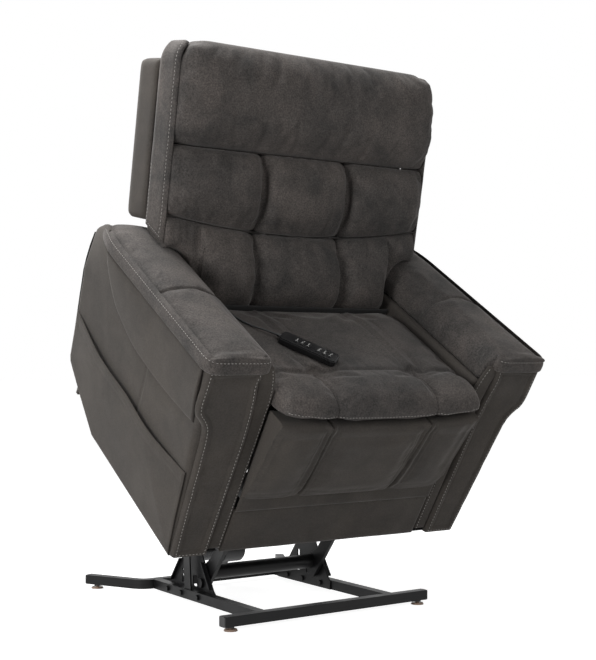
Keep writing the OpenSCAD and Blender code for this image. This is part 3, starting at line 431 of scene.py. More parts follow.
def copied(name, drawing):
    """A merged copy of a CAD solid, brought into the upright drawing."""
    bm = bmesh.new()
    bm.from_mesh(nodes[name].data)
    bmesh.ops.remove_doubles(bm, verts=bm.verts, dist=1e-5)
    bmesh.ops.transform(bm, matrix=drawing.inverted(), verts=bm.verts)
    return bm


def applied(piece):
    """Replaces a piece's mesh by what its modifiers make of it."""
    view = bpy.context.evaluated_depsgraph_get()
    mesh = bpy.data.meshes.new_from_object(piece.evaluated_get(view), depsgraph=view)
    old = piece.data
    piece.modifiers.clear()
    piece.data = mesh
    bpy.data.meshes.remove(old)
    return piece


def points_of(mesh):
    co = np.zeros(len(mesh.vertices) * 3)
    mesh.vertices.foreach_get("co", co)
    return co.reshape(-1, 3)


def normals_of(mesh):
    no = np.zeros(len(mesh.vertices) * 3, np.float32)
    mesh.vertices.foreach_get("normal", no)
    return no.reshape(-1, 3).astype(float)


def set_points(mesh, co):
    mesh.vertices.foreach_set("co", co.astype(np.float32).ravel())
    mesh.update()


def settled_in(piece, drawing, *materials):
    """Moves a finished mesh from the upright drawing to its place, smooth and with its finish."""
    mesh = piece.data
    mesh.transform(drawing)
    mesh.polygons.foreach_set("use_smooth", [True] * len(mesh.polygons))
    mesh.materials.clear()
    for material in materials:
        mesh.materials.append(material)
    mesh.update()


def modifier(piece, kind, **values):
    m = piece.modifiers.new(kind.title(), kind)
    for key, value in values.items():
        setattr(m, key, value)
    return m

# %% Swelling a padded piece
def swollen(piece, sewn, start_in=0.004, cap=0.010, pressure=4.0, frames=20, shrink=-0.035):
    """Blows a remeshed piece up as cloth. sewn(co) marks the points that stay."""
    co, no = points_of(piece.data), normals_of(piece.data)
    held = sewn(co)
    first = co - no * (start_in * ~held)[:, None]
    if not frames:
        return piece
    set_points(piece.data, first)
    group = piece.vertex_groups.new(name="sewn")
    group.add([int(i) for i in np.nonzero(held)[0]], 1.0, "REPLACE")
    cloth = modifier(piece, "CLOTH")
    cloth.settings.use_pressure = True
    cloth.settings.uniform_pressure_force = pressure
    cloth.settings.vertex_group_mass = "sewn"
    cloth.settings.shrink_min = shrink
    cloth.settings.effector_weights.gravity = 0.0
    cloth.collision_settings.use_collision = False
    cloth.point_cache.frame_end = frames
    for number in range(1, frames + 1):
        bpy.context.scene.frame_set(number)
    applied(piece)
    bpy.context.scene.frame_set(1)
    moved = points_of(piece.data) - co
    reach = np.linalg.norm(moved, axis=1)
    moved *= (np.minimum(reach, cap) / np.maximum(reach, 1e-9))[:, None]
    set_points(piece.data, co + moved)
    print(piece.name, "swelled", round(float(reach.max()) * 1000, 1), "mm, capped at", cap * 1000)
    return piece


def ripple(t, seed):
    """An uneven wave along a seam, between about -1 and 1."""
    return (np.sin(t * 97 + seed) + 0.7 * np.sin(t * 173 + 2.1 * seed) + 0.5 * np.sin(t * 61 + 3.7 * seed)
            + 0.4 * np.sin(t * 311 + 5.3 * seed)) / 2.0


def pulled_in(co, no, distance, along, depth, width, pucker=0.0, reach=0.03, seed=1.0, mask=1.0):
    """Pulls a surface in along a seam, with puckers that fade away from it."""
    cut = depth * np.exp(-(distance / width) ** 2)
    clear = 1 - np.exp(-(distance / (0.4 * reach)) ** 2)
    folds = pucker * ripple(along, seed) * np.exp(-(distance / reach) ** 2) * clear
    return co - no * ((cut + folds) * mask)[:, None]


def toward(value, limit, reach=0.022, share=0.75):
    """Moves values that lie just short of a limit nearer to it, so that neighbours meet in a narrow seam."""
    short = np.abs(limit - value)
    return value + (limit - value) * share * np.clip(1 - short / reach, 0, 1)


def near(value, centre, width):
    return np.maximum(0, 1 - ((value - centre) / width) ** 2)


def rounded(distance, radius):
    """0 at an edge, rising round to 1 at a radius from it."""
    return np.sqrt(1 - (1 - np.clip(distance / radius, 0, 1)) ** 2)

# %% The padded piece, from solid to sewn
def padded(name, cad, drawing, ride_on, material, sewn, seams, fill, voxel=0.006, rounds=3, island=None,
           **swell):
    """Copies a CAD solid, remeshes it, swells it, cuts its seams and sets it in place."""
    bm = copied(cad, drawing)
    if island is not None:
        island(bm)
    piece = add_piece(name, bm, ride_on)
    modifier(piece, "REMESH", mode="VOXEL", voxel_size=voxel)
    modifier(piece, "SMOOTH", factor=0.5, iterations=rounds)
    applied(piece)
    swollen(piece, sewn, **swell)
    modifier(piece, "SMOOTH", factor=0.5, iterations=3)
    modifier(piece, "SUBSURF", levels=1, render_levels=1)
    applied(piece)
    set_points(piece.data, seams(points_of(piece.data), normals_of(piece.data)))
    settled_in(piece, drawing, material)
    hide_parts(cad)
    print(name, len(piece.data.polygons), "faces")
    return piece

# %% [markdown]
# The seat has a flat deck and a front roll that bulges forward. Two channels split
# the roll into three, and a shallow seam divides roll and deck. Its underside
# rests on the springs, so it stays flat.

# %% Seat cushion
channel = 0.147
seat_under, seat_rear, roll_rear = 0.354, 0.388, 0.07
strip = 0.005


def seat_sewn(co):
    x, y, z = co.T
    lines = (np.abs(np.abs(x) - channel) < strip) & (y < roll_rear)
    return (z < seat_under) | (y > seat_rear) | lines | (np.abs(x) > half - 0.004)


def seat_seams(co, no):
    x, y, z = co.T
    co = co.copy()
    tuck = np.interp(np.abs(np.abs(x) - channel), [0, 0.004, 0.010, 0.024], [0.0115, 0.0105, 0.0075, 0])
    co[:, 2] += tuck * np.clip((y - 0.062) / 0.02, 0, 1) * (z > 0.43)
    end = np.clip((np.abs(x) - 0.272) / 0.024, 0, 1) ** 2 * np.clip((y - 0.04) / 0.03, 0, 1) * (z > 0.42)
    co[:, 2] += 0.012 * end
    co[:, 1] -= 0.55 * tuck * np.clip((0.02 - y) / 0.03, 0, 1)
    for side in (-1, 1):
        line = side * (channel + 0.004 * np.sin((y + 0.07) * 18))
        front = np.clip((0.085 - y) / 0.03, 0, 1)
        co = pulled_in(co, no, np.abs(x - line), y + z, 0.006, 0.0035, 0.0012, 0.035, 2.0 + side, front)
    from_channel = np.abs(np.abs(x) - channel)
    deck = 0.060 + 0.016 * np.clip(from_channel < 0.03, 0, 1) * (1 - from_channel / 0.03)
    co = pulled_in(co, no, np.abs(y - deck), x, 0.0045, 0.007, 0.0014, 0.045, 4.0, (z > 0.44) * 1.0)
    hem = np.abs(z - (0.418 - 0.018 * np.clip(1 - (x / half) ** 2, 0, 1)))
    co = pulled_in(co, no, hem, x, 0.003, 0.003, 0.0, 0.02, 1.0, (y < -0.03) * 1.0)
    return co


seat = padded("seat_cushion_cover", "seat_cushion", body, "chair_body", suede,
              seat_sewn, seat_seams, 0.7, rounds=4, cap=0.006, shrink=-0.015)

# %% [markdown]
# The three rows of the back are separate bags of fill. The two lower rows have two
# sewn channels each, and the head row is one plain roll. Their ends are sewn to
# the side bands, where the cloth gathers.

# %% Head and middle rows
row_low, row_high = 0.190, 0.377
row_dip, row_rise = 0.016, 0.034
back_edge = 0.3905
rib = 0.131


def row_sewn(bottom, top, channels):
    def held(co):
        x, depth, height = co.T
        edge = (np.abs(x) > back_edge - 0.005) | (depth > 0.085)
        edge |= (height < bottom(x) + 0.006) | (height > top(x) - 0.006)
        if channels:
            edge |= (np.abs(np.abs(x) - rib) < strip) & (depth < 0.05)
        return edge
    return held


def row_seams(bottom, top, channels, seed, gathers=0.0015, foot_meets=True, top_meets=True):
    def cut(co, no):
        x, depth, height = co.T
        low, high = bottom(x), top(x)
        co = co.copy()
        if foot_meets:
            co[:, 2] = toward(co[:, 2], low + 0.0008)
        if top_meets:
            co[:, 2] = toward(co[:, 2], high - 0.0008)
        if foot_meets or top_meets:
            ends = toward(np.abs(x), back_edge)
            co[:, 0] = np.sign(x) * (np.abs(x) + (ends - np.abs(x)) * np.clip((0.560 - height) / 0.05, 0, 1))
        part = np.clip((height - low) / np.maximum(high - low, 1e-3), 0, 1)
        front = np.clip((0.06 - depth) / 0.02, 0, 1)
        rows = np.minimum(height - low, high - height)
        puff = 0.011 - 0.030 * (1 - rounded(rows, 0.060))
        puff -= 0.010 * (1 - rounded(back_edge - np.abs(x), 0.034))
        if channels:
            puff -= 0.014 * (1 - rounded(np.abs(np.abs(x) - rib), 0.050))
        else:
            puff -= 0.014 * (1 - rounded(height - low, 0.085))
        co[:, 1] -= puff * front
        if channels:
            for side in (-1, 1):
                line = side * rib + 0.007 * np.sin(math.pi * part) * (1 if seed % 2 else -1)
                off = np.abs(x - line)
                co = pulled_in(co, no, off, height, 0.007, 0.0035, 0.0022, 0.030, seed + side, front)
        ends = np.abs(back_edge - np.abs(x))
        co = pulled_in(co, no, ends, height, 0.0, 0.01, gathers, 0.045, seed + 2, front)
        return pulled_in(co, no, rows, x, 0.0, 0.01, 0.0012, 0.035, seed + 4, front)
    return cut


def flat_at(value):
    return lambda x: value + 0 * x


def middle_foot(x):
    """The lower seam sags in the middle of the back."""
    return row_low - row_dip + row_rise * (np.abs(x) / back_edge) ** 2


def lumbar_top(x):
    return row_low - row_dip - 0.001 + row_rise * (np.abs(x) / back_edge) ** 2


def lumbar_foot(x):
    return np.where(np.abs(x) < half - 0.006, -0.03, 0.128)


crown = flat_at(0.634)
head_seams = row_seams(flat_at(row_high), crown, False, 1.0, 0.003, top_meets=False)
padded("headrest_cushion_cover", "headrest_cushion", back, "backrest", suede,
       row_sewn(flat_at(row_high), crown, False), head_seams, 0.8, rounds=5)
middle_seams = row_seams(middle_foot, flat_at(row_high), True, 3.0)
padded("middle_back_cushion_cover", "middle_back_cushion", back, "backrest", suede,
       row_sewn(middle_foot, flat_at(row_high), True), middle_seams, 0.75)

# %% [markdown]
# The lowest row is wider than the gap between the arms. So it has a wing at each
# side, and each wing's foot follows the round shoulder of the arm pad below it.
# The pad's height at a few distances from the middle gives that shoulder. It is
# carried from the body's upright drawing to the leaning one of the back.

# %% Lumbar row
lumbar_cut = row_seams(lumbar_foot, lumbar_top, True, 6.0, 0.0025, foot_meets=False)
shoulder_x = [0.292, 0.300, 0.311, 0.319, 0.334, 0.350]
shoulder_z = [0.488, 0.492, 0.510, 0.527, 0.542, 0.550]
back_foot_z = 0.433
lean_sine, lean_cosine = 0.358, 0.934
wing_top, wing_lean = 0.144, 0.36


def lumbar_seams(co, no):
    """The row's seams, a fuller foot, and wings that reach down to the shoulder of each arm pad."""
    co = lumbar_cut(co, no)
    x, depth, height = co.T
    across = np.abs(x)
    shoulder = np.interp(across, shoulder_x, shoulder_z)
    wing_foot = (shoulder - back_foot_z + lean_sine * depth) / lean_cosine
    drop = np.maximum(0, wing_top + wing_lean * depth - wing_foot)
    drop *= np.clip((across - 0.2885) / 0.003, 0, 1)
    drop *= np.clip((height - 0.03) / 0.06, 0, 1)
    drop *= np.clip((0.185 + wing_lean * depth - height) / 0.04, 0, 1)
    co[:, 2] = height - drop
    full = 0.020 * near(height, 0.045, 0.085)
    full *= np.clip((0.05 - depth) / 0.03, 0, 1) * np.clip((0.285 - across) / 0.03, 0, 1)
    co[:, 1] = depth - full
    return co


padded("lumbar_cushion_cover", "lumbar_cushion", back, "backrest", suede,
       row_sewn(lumbar_foot, lumbar_top, True), lumbar_seams, 0.7)

# %% [markdown]
# Each arm is capped by a long pad of crowned foam that curves in towards its rear
# end. One seam crosses it half way along. The right pad is the mirror image, so
# the seams use the distance from the middle of the chair. Its band is a piece of
# its own, and comes later.

# %% Arm pads
pad_foot = arm_top - 0.042
pad_seam_y = 0.278
tail_from, tail_length, tail_inner = 0.50, 0.175, 0.42


def tail(y, across):
    """Draws the outer part of an arm in towards the rear end of its pad."""
    pull = 0.62 * np.clip((y - tail_from) / tail_length, 0, 1) ** 2
    return np.where(across > tail_inner, tail_inner + (across - tail_inner) * (1 - pull), across)


def pad_sewn(co):
    x, y, z = co.T
    return (z < pad_foot + 0.003) | (y < -0.013) | (y > 0.676) | (z < arm_top - 0.022) & (np.abs(x) > 0.47)


def pad_seams(co, no):
    x, y, z = co.T
    across = np.abs(x)
    cross_line = np.abs(y - pad_seam_y - 0.03 * (across - 0.4) - 0.006 * np.sin((across - 0.3) * 15))
    upper = np.clip((z - 0.47) / 0.02, 0, 1)
    co = pulled_in(co, no, cross_line, across + z, 0.0042, 0.003, 0.001, 0.03, 3.0, upper)
    hollow = 0.0035 * np.exp(-((across - 0.41) / 0.05) ** 2 - ((y - 0.16) / 0.12) ** 2)
    co = co - no * (hollow * (z > 0.53))[:, None]
    co[:, 0] = np.sign(x) * tail(co[:, 1], np.abs(co[:, 0]))
    return co


for side in ("left", "right"):
    padded("arm_pad_%s_cover" % side, "arm_pad_%s" % side, body, "chair_body", suede,
           pad_sewn, pad_seams, 0.8, rounds=4, cap=0.005, shrink=-0.01)

# %% [markdown]
# The footrest is a covered board with a steel ear at each side, and a padded face
# that hangs down in front of the seat. The CAD node holds both, so the board is
# copied out as a rigid piece of its own and the pad is swollen on its own.

# %% Footrest pad and its board
def part_of(bm, keep_front):
    """Keeps the solid that lies foremost, or all the others."""
    start = min(bm.verts, key=lambda v: v.co.y)
    found, waiting = {start}, [start]
    while waiting:
        for edge in waiting.pop().link_edges:
            for vert in edge.verts:
                if vert not in found:
                    found.add(vert)
                    waiting.append(vert)
    bmesh.ops.delete(bm, geom=[v for v in bm.verts if (v in found) != keep_front], context="VERTS")


def footrest_sewn(co):
    x, y, z = co.T
    lines = (np.abs(np.abs(x) - channel) < strip) & (y < -0.012)
    return (y > -0.007) | (np.abs(x) > half - 0.008) | (z < 0.157) | lines


fold_z = [0.151, 0.158, 0.180, 0.220, 0.265, 0.310, 0.350, 0.380]
fold_depth = [0.004, 0.012, 0.024, 0.034, 0.042, 0.048, 0.050, 0.042]
pad_low = 0.1425


def footrest_seams(co, no):
    x, y, z = co.T
    co = co.copy()
    crest = 0.398 - 0.016 * near(x, 0, half)
    fold = np.interp(z, fold_z, fold_depth)
    off = np.abs(np.abs(x) - channel)
    fill_in = 0.46 * fold * np.interp(off, [0, 0.007, 0.014, 0.024], [0.95, 0.78, 0.42, 0])
    ends = 0.45 * fold * np.clip((np.abs(x) - 0.25) / 0.045, 0, 1) ** 2
    co[:, 2] = toward(toward(z, pad_low, 0.03, 0.6), crest + 0.006, 0.05, 0.35)
    facing = np.clip((-0.008 - y) / 0.010, 0, 1)
    lip = 0.017 * np.clip((z - 0.35) / 0.035, 0, 1) * np.clip((-0.012 - y) / 0.020, 0, 1)
    co[:, 1] = y - lip - (fill_in + ends) * facing
    co[:, 0] = np.sign(x) * toward(np.abs(x), half - 0.0015, 0.016, 0.9)
    front = np.clip((-0.006 - y) / 0.01, 0, 1)
    for side in (-1, 1):
        line = side * (channel - 0.010 * np.clip((0.39 - z) / 0.24, 0, 1) ** 1.5)
        co = pulled_in(co, no, np.abs(x - line), z, 0.007, 0.0032, 0.0012, 0.035, 5.0 + side, front)
    return co


padded("footrest_pad_cover", "footrest_pad", body, "footrest_board", suede_plain,
       footrest_sewn, footrest_seams, 0.75, rounds=4, island=lambda bm: part_of(bm, True), cap=0.003,
       shrink=-0.006)
bm = copied("footrest_pad", body)
part_of(bm, False)
board = add_piece("footrest_board_and_ears", bm, "footrest_board")
board.data.materials.append(suede_plain)
board.data.materials.append(powder)
board_rear, ear = 0.0112, 0.0115
for polygon in board.data.polygons:
    polygon.material_index = int(polygon.center.y > board_rear or abs(polygon.center.x) > half - ear)
board.data.transform(body)
board.data.update()
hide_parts("footrest_pad")
print("board faces", len(board.data.polygons))

# %% [markdown]
# The outsides of the chair are flat parts: cloth drawn over a board or over thin
# foam. Each one begins as an outline, is sliced into small squares, and gets a
# second layer behind. The two layers are then bent to the shape of the arm, and
# come together at the edge as a folded hem does.

# %% Cutting a panel from an outline
def cut_cloth(name, outline, step, ride_on):
    """A flat panel of two layers; the third coordinate of a point names its layer, 0 or 1."""
    bm = bmesh.new()
    bm.faces.new([bm.verts.new((u, v, 0)) for u, v in outline])
    for k, normal in ((0, Vector((1, 0, 0))), (1, Vector((0, 1, 0)))):
        low, high = min(p[k] for p in outline), max(p[k] for p in outline)
        count = max(2, round((high - low) / step))
        for i in range(1, count):
            cut = normal * (low + (high - low) * i / count)
            everything = bm.verts[:] + bm.edges[:] + bm.faces[:]
            bmesh.ops.bisect_plane(bm, geom=everything, dist=1e-6, plane_co=cut, plane_no=normal)
    layer = bmesh.ops.extrude_face_region(bm, geom=bm.faces[:], use_keep_orig=True)
    lifted = [v for v in layer["geom"] if isinstance(v, bmesh.types.BMVert)]
    bmesh.ops.translate(bm, verts=lifted, vec=(0, 0, 1))
    piece = add_piece(name, bm, ride_on)
    modifier(piece, "SUBSURF", subdivision_type="SIMPLE", levels=1, render_levels=1)
    return applied(piece)


def line_distance(points, line, closed=True):
    """How far each flat point lies from a line of points."""
    line = np.array(line)
    nearest = np.full(len(points), 9.0)
    for a, b in zip(line, np.roll(line, -1, axis=0)) if closed else zip(line, line[1:]):
        along = b - a
        t = np.clip(((points - a) @ along) / max(along @ along, 1e-12), 0, 1)
        nearest = np.minimum(nearest, np.linalg.norm(points - a - t[:, None] * along, axis=1))
    return nearest


def groove(distance, depth, width):
    return depth * np.exp(-(distance / width) ** 2)


def outwards(mesh):
    """Turns the faces of a closed mesh to point outwards."""
    bm = bmesh.new()
    bm.from_mesh(mesh)
    inside_out = bm.calc_volume(signed=True) < 0
    bm.free()
    if inside_out:
        mesh.flip_normals()


def panel(name, node, outline, shape, step=0.011, mirror=False, ride_on="chair_body", drawing=body,
          material=None):
    """Cuts a panel and bends it: shape(u, v, layer, edge distance) gives its x, y and z."""
    piece = cut_cloth(name, outline, step, ride_on)
    u, v, layer = points_of(piece.data).T
    x, y, z = shape(u, v, layer, line_distance(np.stack([u, v], 1), outline))
    set_points(piece.data, np.stack([-x if mirror else x, y, z], 1))
    outwards(piece.data)
    settled_in(piece, drawing, material or suede_plain)
    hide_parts(node)
    print(name, len(piece.data.polygons), "faces")
    return piece

# %% [markdown]
# The outer side of an arm leans out as it rises, and one curve gives its distance
# from the middle of the chair at each height. Side panel, flap and pocket all lie
# on that curve, one over the other.

# %% Side panels and cover flaps
flare_heights = [-0.012, 0.09, 0.19, 0.26, 0.35, 0.44, 0.501]
flare_widths = [0.433, 0.445, 0.454, 0.461, 0.470, 0.482, 0.490]


def flare(z):
    return np.interp(z, flare_heights, flare_widths)


def two(line):
    return [tuple(p[:2]) for p in line]


def flat(points):
    return [(u, v, 0.0) for u, v in points]


side_front, side_seam_y, side_inner = 0.0018, 0.275, 0.4055
side_outline = [
    (side_front, arm_foot), (0.490, arm_foot), (0.605, 0.050), (0.683, 0.096), (0.691, 0.112),
    (body_back, 0.300), (0.694, 0.440), (0.690, 0.478), (0.681, 0.500), (0.663, 0.515), (0.640, 0.527),
    (0.612, 0.536), (0.585, 0.537), (0.560, 0.503), (side_front, 0.501)]
flap_stops = [
    (0.014, 0.356), (0.068, 0.351), (0.180, 0.343), (0.278, 0.344), (0.357, 0.351),
    (0.430, 0.373), (0.478, 0.394), (0.522, 0.434), (0.548, 0.467), (0.560, 0.499)]
flap_edge = two(smooth_line(flat(flap_stops), 4))
flap_outline = [(0.014, 0.4995)] + flap_edge


def side_lean(u, v):
    """How far the rear top of an arm leans in."""
    return 0.020 * np.clip((u - 0.56) / 0.13, 0, 1) ** 2 * np.clip((v - 0.38) / 0.12, 0, 1)


def side_shape(u, v, layer, edge):
    seam = np.abs(u - side_seam_y - 0.004 * np.sin(v * 14))
    wave = 0.0008 * ripple(v * 0.5, 2.0) * np.exp(-(seam / 0.03) ** 2)
    outer = flare(v) - 0.007 * (1 - rounded(edge, 0.014)) - groove(seam, 0.0022, 0.0022)
    outer += wave * (seam > 0.003)
    outer -= 0.0015 * np.sin(v * 9 + u * 5) ** 2
    outer -= side_lean(u, v)
    rise = np.clip((v - 0.494) / 0.03, 0, 1)
    outer += (tail(u, outside) - 0.001 - 0.2 * np.maximum(0, v - 0.52) - outer) * rise
    inner = side_inner + (outer - 0.006 - side_inner) * np.clip((v - 0.485) / 0.012, 0, 1)
    return inner + (outer - inner) * layer, u, v


def flap_shape(u, v, layer, edge):
    hem = line_distance(np.stack([u, v], 1), flap_edge, closed=False)
    full = rounded(hem, 0.010) * np.clip((0.5005 - v) / 0.004, 0.35, 1)
    swell = 0.004 * np.sin(np.clip(hem / 0.13, 0, 1) * math.pi)
    low = flare(v) + 0.0004
    high = flare(v) + 0.0016 + 0.0046 * full + swell * (1 - np.clip(u / 0.6, 0, 1) * 0.5)
    return low + (high - low) * layer, u, v


for side in ("left", "right"):
    mirrored = side == "right"
    panel("arm_side_panel_%s_cover" % side, "arm_side_panel_" + side,
                              side_outline, side_shape, mirror=mirrored)
    flap = panel("arm_cover_flap_%s_cover" % side, "arm_cover_flap_" + side,
                 flap_outline, flap_shape, mirror=mirrored)

# %% [markdown]
# The side pocket is a patch of the same cloth, sewn down along its bottom and both
# ends. Its mouth stands open by a finger's width, and a hem is turned in along it.

# %% Side pocket
mouth_stops = [(0.687, 0.252), (0.648, 0.248), (0.520, 0.231), (0.435, 0.226), (0.319, 0.228),
               (0.230, 0.219), (0.145, 0.218), (0.024, 0.225), (0.004, 0.227)]
mouth_line = two(smooth_line(flat(mouth_stops), 3))
pocket_sewn = [(0.004, 0.227), (0.004, -0.009), (0.489, -0.009), (0.603, 0.053), (0.680, 0.099),
               (0.687, 0.113), (0.688, 0.252)]
hem_height, cloth_thick = 0.030, 0.0016
pocket_outline = mouth_line + pocket_sewn[1:-1]


def pocket_shape(u, v, layer, edge):
    flat_points = np.stack([u, v], 1)
    sewn = line_distance(flat_points, pocket_sewn, closed=False)
    mouth = line_distance(flat_points, mouth_line, closed=False)
    gap = 0.0110 * np.sin(np.clip(sewn / 0.21, 0, 1) * math.pi / 2) ** 1.3
    low = flare(v) + 0.0006 + gap
    hem = 0.0012 * np.clip((hem_height - mouth) / 0.004, 0, 1)
    hem -= groove(np.abs(mouth - hem_height), 0.0009, 0.002)
    thick = cloth_thick * (0.45 + 0.55 * rounded(edge, 0.004))
    thick += hem * (mouth < hem_height + 0.004) * np.clip(edge / 0.004, 0, 1)
    return low + np.maximum(thick, 0.0006) * layer, u, v


pocket = panel("side_pocket_cover", "side_pocket", pocket_outline, pocket_shape, mirror=True)

# %% [markdown]
# A front panel closes the front of each arm. It is a cloth-covered board with its
# border turned and topstitched. Beside it, towards the seat, runs the inner strip,
# which comes down from the pad, and a dark gap divides the two.

# %% Front panels, inner strips and inner boards
front_inner = [(0.345, 0.506), (0.352, 0.470), (0.344, 0.420), (0.3375, 0.345), (0.3365, 0.300)]
front_foot = [(0.3365, arm_foot + 0.003), (0.340, arm_foot), (0.426, arm_foot), (0.431, arm_foot + 0.004)]
front_outer = [(0.4375, 0.090), (0.443, 0.180), (0.450, 0.300), (0.4565, 0.350), (0.470, 0.3725),
               (0.484, 0.388), (0.4905, 0.408), (0.492, 0.432), (0.492, 0.506)]
front_line = [(0.361, 0.509)] + two(smooth_line(flat(front_inner), 3))[1:] + front_foot
front_line += two(smooth_line(flat(front_outer), 3))
strip_stops = [(0.0005, 0.001), (0.037, 0.001), (0.037, 0.330), (0.044, 0.400), (0.0505, 0.458),
               (0.061, 0.509), (0.021, 0.509), (0.0105, 0.482), (0.003, 0.448), (0.0005, 0.424)]
strip_line = [(half + out, v) for out, v in strip_stops]
board_line = [(0.002, 0.351), (0.638, 0.351), (0.638, 0.467), (0.002, 0.467)]


def front_shape(u, v, layer, edge):
    border = np.clip((0.019 - edge) / 0.003, 0, 1)
    face = 0.0086 + 0.0032 * border - groove(np.abs(edge - 0.0195), 0.0012, 0.0016)
    face -= groove(np.abs(edge - 0.0095), 0.0008, 0.0016)
    return u, -0.0004 - face * rounded(edge, 0.006) * layer - 0.0006 * layer, v


def strip_shape(u, v, layer, edge):
    thick = 0.0008 + 0.0046 * rounded(edge, 0.008) - groove(np.abs(edge - 0.007), 0.0006, 0.0014)
    return u, -0.0004 - thick * layer, v


def board_shape(u, v, layer, edge):
    return half + 0.0195 - (0.010 + 0.0088 * rounded(edge, 0.012)) * layer, u, v


fronts, strips = {}, {}
for side in ("left", "right"):
    mirrored = side == "right"
    fronts[side] = panel("arm_front_panel_%s_cover" % side, "arm_front_panel_" + side,
                         front_line, front_shape, step=0.008, mirror=mirrored)
    strips[side] = panel("arm_inner_strip_" + side, "arm_inner_panel_" + side,
                         strip_line, strip_shape, step=0.006, mirror=mirrored)
    inner = panel("arm_inner_board_" + side, "arm_inner_panel_" + side,
                  board_line, board_shape, step=0.016, mirror=mirrored)

# %% [markdown]
# A near-black cloth closes the foot and the rear end of each arm; its dark colour is painted
# shade for these hidden ends. It is one strip, laid along the profile of the side panel.
# Another such cloth bridges the crevice between seat and back, and its near-black colour is
# the painted shade of that crevice; one edge follows the seat and the other the back, so it
# opens as the back reclines.

# %% Near-black cloths with painted shade
def walked_along(route):
    """How far each point of a route lies from its start."""
    return np.concatenate([[0.0], np.cumsum(np.linalg.norm(np.diff(route, axis=0), axis=1))])


cloth_route = np.array([
    (0.004, arm_foot), (0.489, arm_foot), (0.604, 0.0495), (0.6815, 0.0955), (0.6900, 0.1125),
    (0.6945, 0.300), (0.6940, 0.440), (0.6885, 0.480)])
cloth_at = walked_along(cloth_route)
turn_up = cloth_at[4]


def cloth_point(along):
    return np.interp(along, cloth_at, cloth_route[:, 0]), np.interp(along, cloth_at, cloth_route[:, 1])


outer_edge = []
for along in np.linspace(cloth_at[-1], 0.0, 30):
    y, z = cloth_point(along)
    outer_edge.append((along, float(flare(z) - side_lean(y, z) - 0.0015)))
cloth_line = [(0.0, half + 0.003), (turn_up - 0.02, half + 0.003), (turn_up, half + 0.1065),
              (cloth_at[-1], half + 0.1065)] + outer_edge


def cloth_shape(u, v, layer, edge):
    y, z = cloth_point(u)
    y_before, z_before = cloth_point(np.maximum(u - 0.004, 0))
    y_after, z_after = cloth_point(np.minimum(u + 0.004, cloth_at[-1]))
    run = np.stack([y_after - y_before, z_after - z_before])
    run /= np.linalg.norm(run, axis=0)
    out = 0.0003 + (0.0006 + 0.0012 * rounded(edge, 0.006)) * layer
    return v, y + run[1] * out, z - run[0] * out


# The arm ends take the near-black cloth, whose colour is painted shade.
for side in ("left", "right"):
    panel("arm_end_cloth_painted_shade_" + side, "arm_side_panel_" + side, cloth_line, cloth_shape,
          mirror=side == "right", material=painted_shade_cloth)
crevice_at = [0.0, 0.044, 0.099]
crevice_line = [(-0.252, 0.0), (half - 0.006, 0.0), (half - 0.006, crevice_at[2]), (-0.252, crevice_at[2])]


def crevice_shape(u, v, layer, edge):
    """Up behind the seat, over a fold, and down to the foot of the back."""
    past = np.clip((v - crevice_at[1]) / 0.011, -1, 1)
    y = np.interp(v, crevice_at, [0.398, 0.3855, 0.421]) + 0.0012 * layer * past
    return u, y, np.interp(v, crevice_at, [0.402, 0.447, 0.402]) + 0.0012 * layer * (1 - np.abs(past))


crevice = panel("crevice_cloth", "lumbar_cushion", crevice_line, crevice_shape,
                ride_on=None, material=painted_shade_cloth)
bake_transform(crevice)

# %% [markdown]
# A band about 37 mm wide is sewn round the edge of each pad. It is cut flat as a
# strip and laid along a line: forward along the outer edge of the arm, round the
# front corner and across the lip. Its top edge leans in towards the pad, where a
# row of stitches shows.

# %% Bands of the arm pads
pad_ys = np.linspace(0.674, 0.016, 24)
band_stops = [(float(tail(y, 0.4995)), float(y)) for y in pad_ys] + [
    (0.4975, 0.002), (0.491, -0.010), (0.480, -0.0165), (0.466, -0.018), (0.420, -0.018),
    (0.372, -0.018), (0.352, -0.016), (0.342, -0.008), (0.338, 0.004)]
band_route = np.array(smooth_line(flat(band_stops), 3))[:, :2]
band_at = walked_along(band_route)
band_low, band_high, band_stitch = 0.5010, 0.5385, 0.5300
drop_from, drop_radius = 0.56, 0.215


def along_band(u, out):
    """The place at a distance along the band's route, moved outwards from the arm."""
    x, y = np.interp(u, band_at, band_route[:, 0]), np.interp(u, band_at, band_route[:, 1])
    ahead, behind = np.minimum(u + 0.004, band_at[-1]), np.maximum(u - 0.004, 0)
    run = np.stack([np.interp(ahead, band_at, line) - np.interp(behind, band_at, line)
                    for line in band_route.T])
    run /= np.linalg.norm(run, axis=0)
    return x - run[1] * out, y + run[0] * out


def pad_drop(y):
    """How far the pad's top falls away towards its rear end."""
    return drop_radius - np.sqrt(np.maximum(0, drop_radius ** 2 - np.maximum(0, y - drop_from) ** 2))


def welt_shape(u, v, layer, edge):
    lean = -0.0095 * np.clip((v - 0.516) / 0.0225, 0, 1) ** 2
    thick = 0.0008 + 0.0042 * rounded(edge, 0.007) - groove(np.abs(v - band_stitch), 0.0008, 0.0016)
    x, y = along_band(u, lean + thick * layer)
    return x, y, v - 0.9 * pad_drop(y) * np.clip((v - band_low) / 0.02, 0, 1)


welts = {}
welt_outline = [(0.0, band_low), (band_at[-1], band_low), (band_at[-1], band_high), (0.0, band_high)]
for side in ("left", "right"):
    welts[side] = panel("arm_pad_band_" + side, "arm_pad_" + side, welt_outline, welt_shape,
                        step=0.006, mirror=side == "right", material=suede)

# %% [markdown]
# Below the footrest hangs an apron of covered board, cut away at its top corners
# where the footrest arms stand. The rear of the body is closed by a covered panel
# with a wide notch in which the back swings.

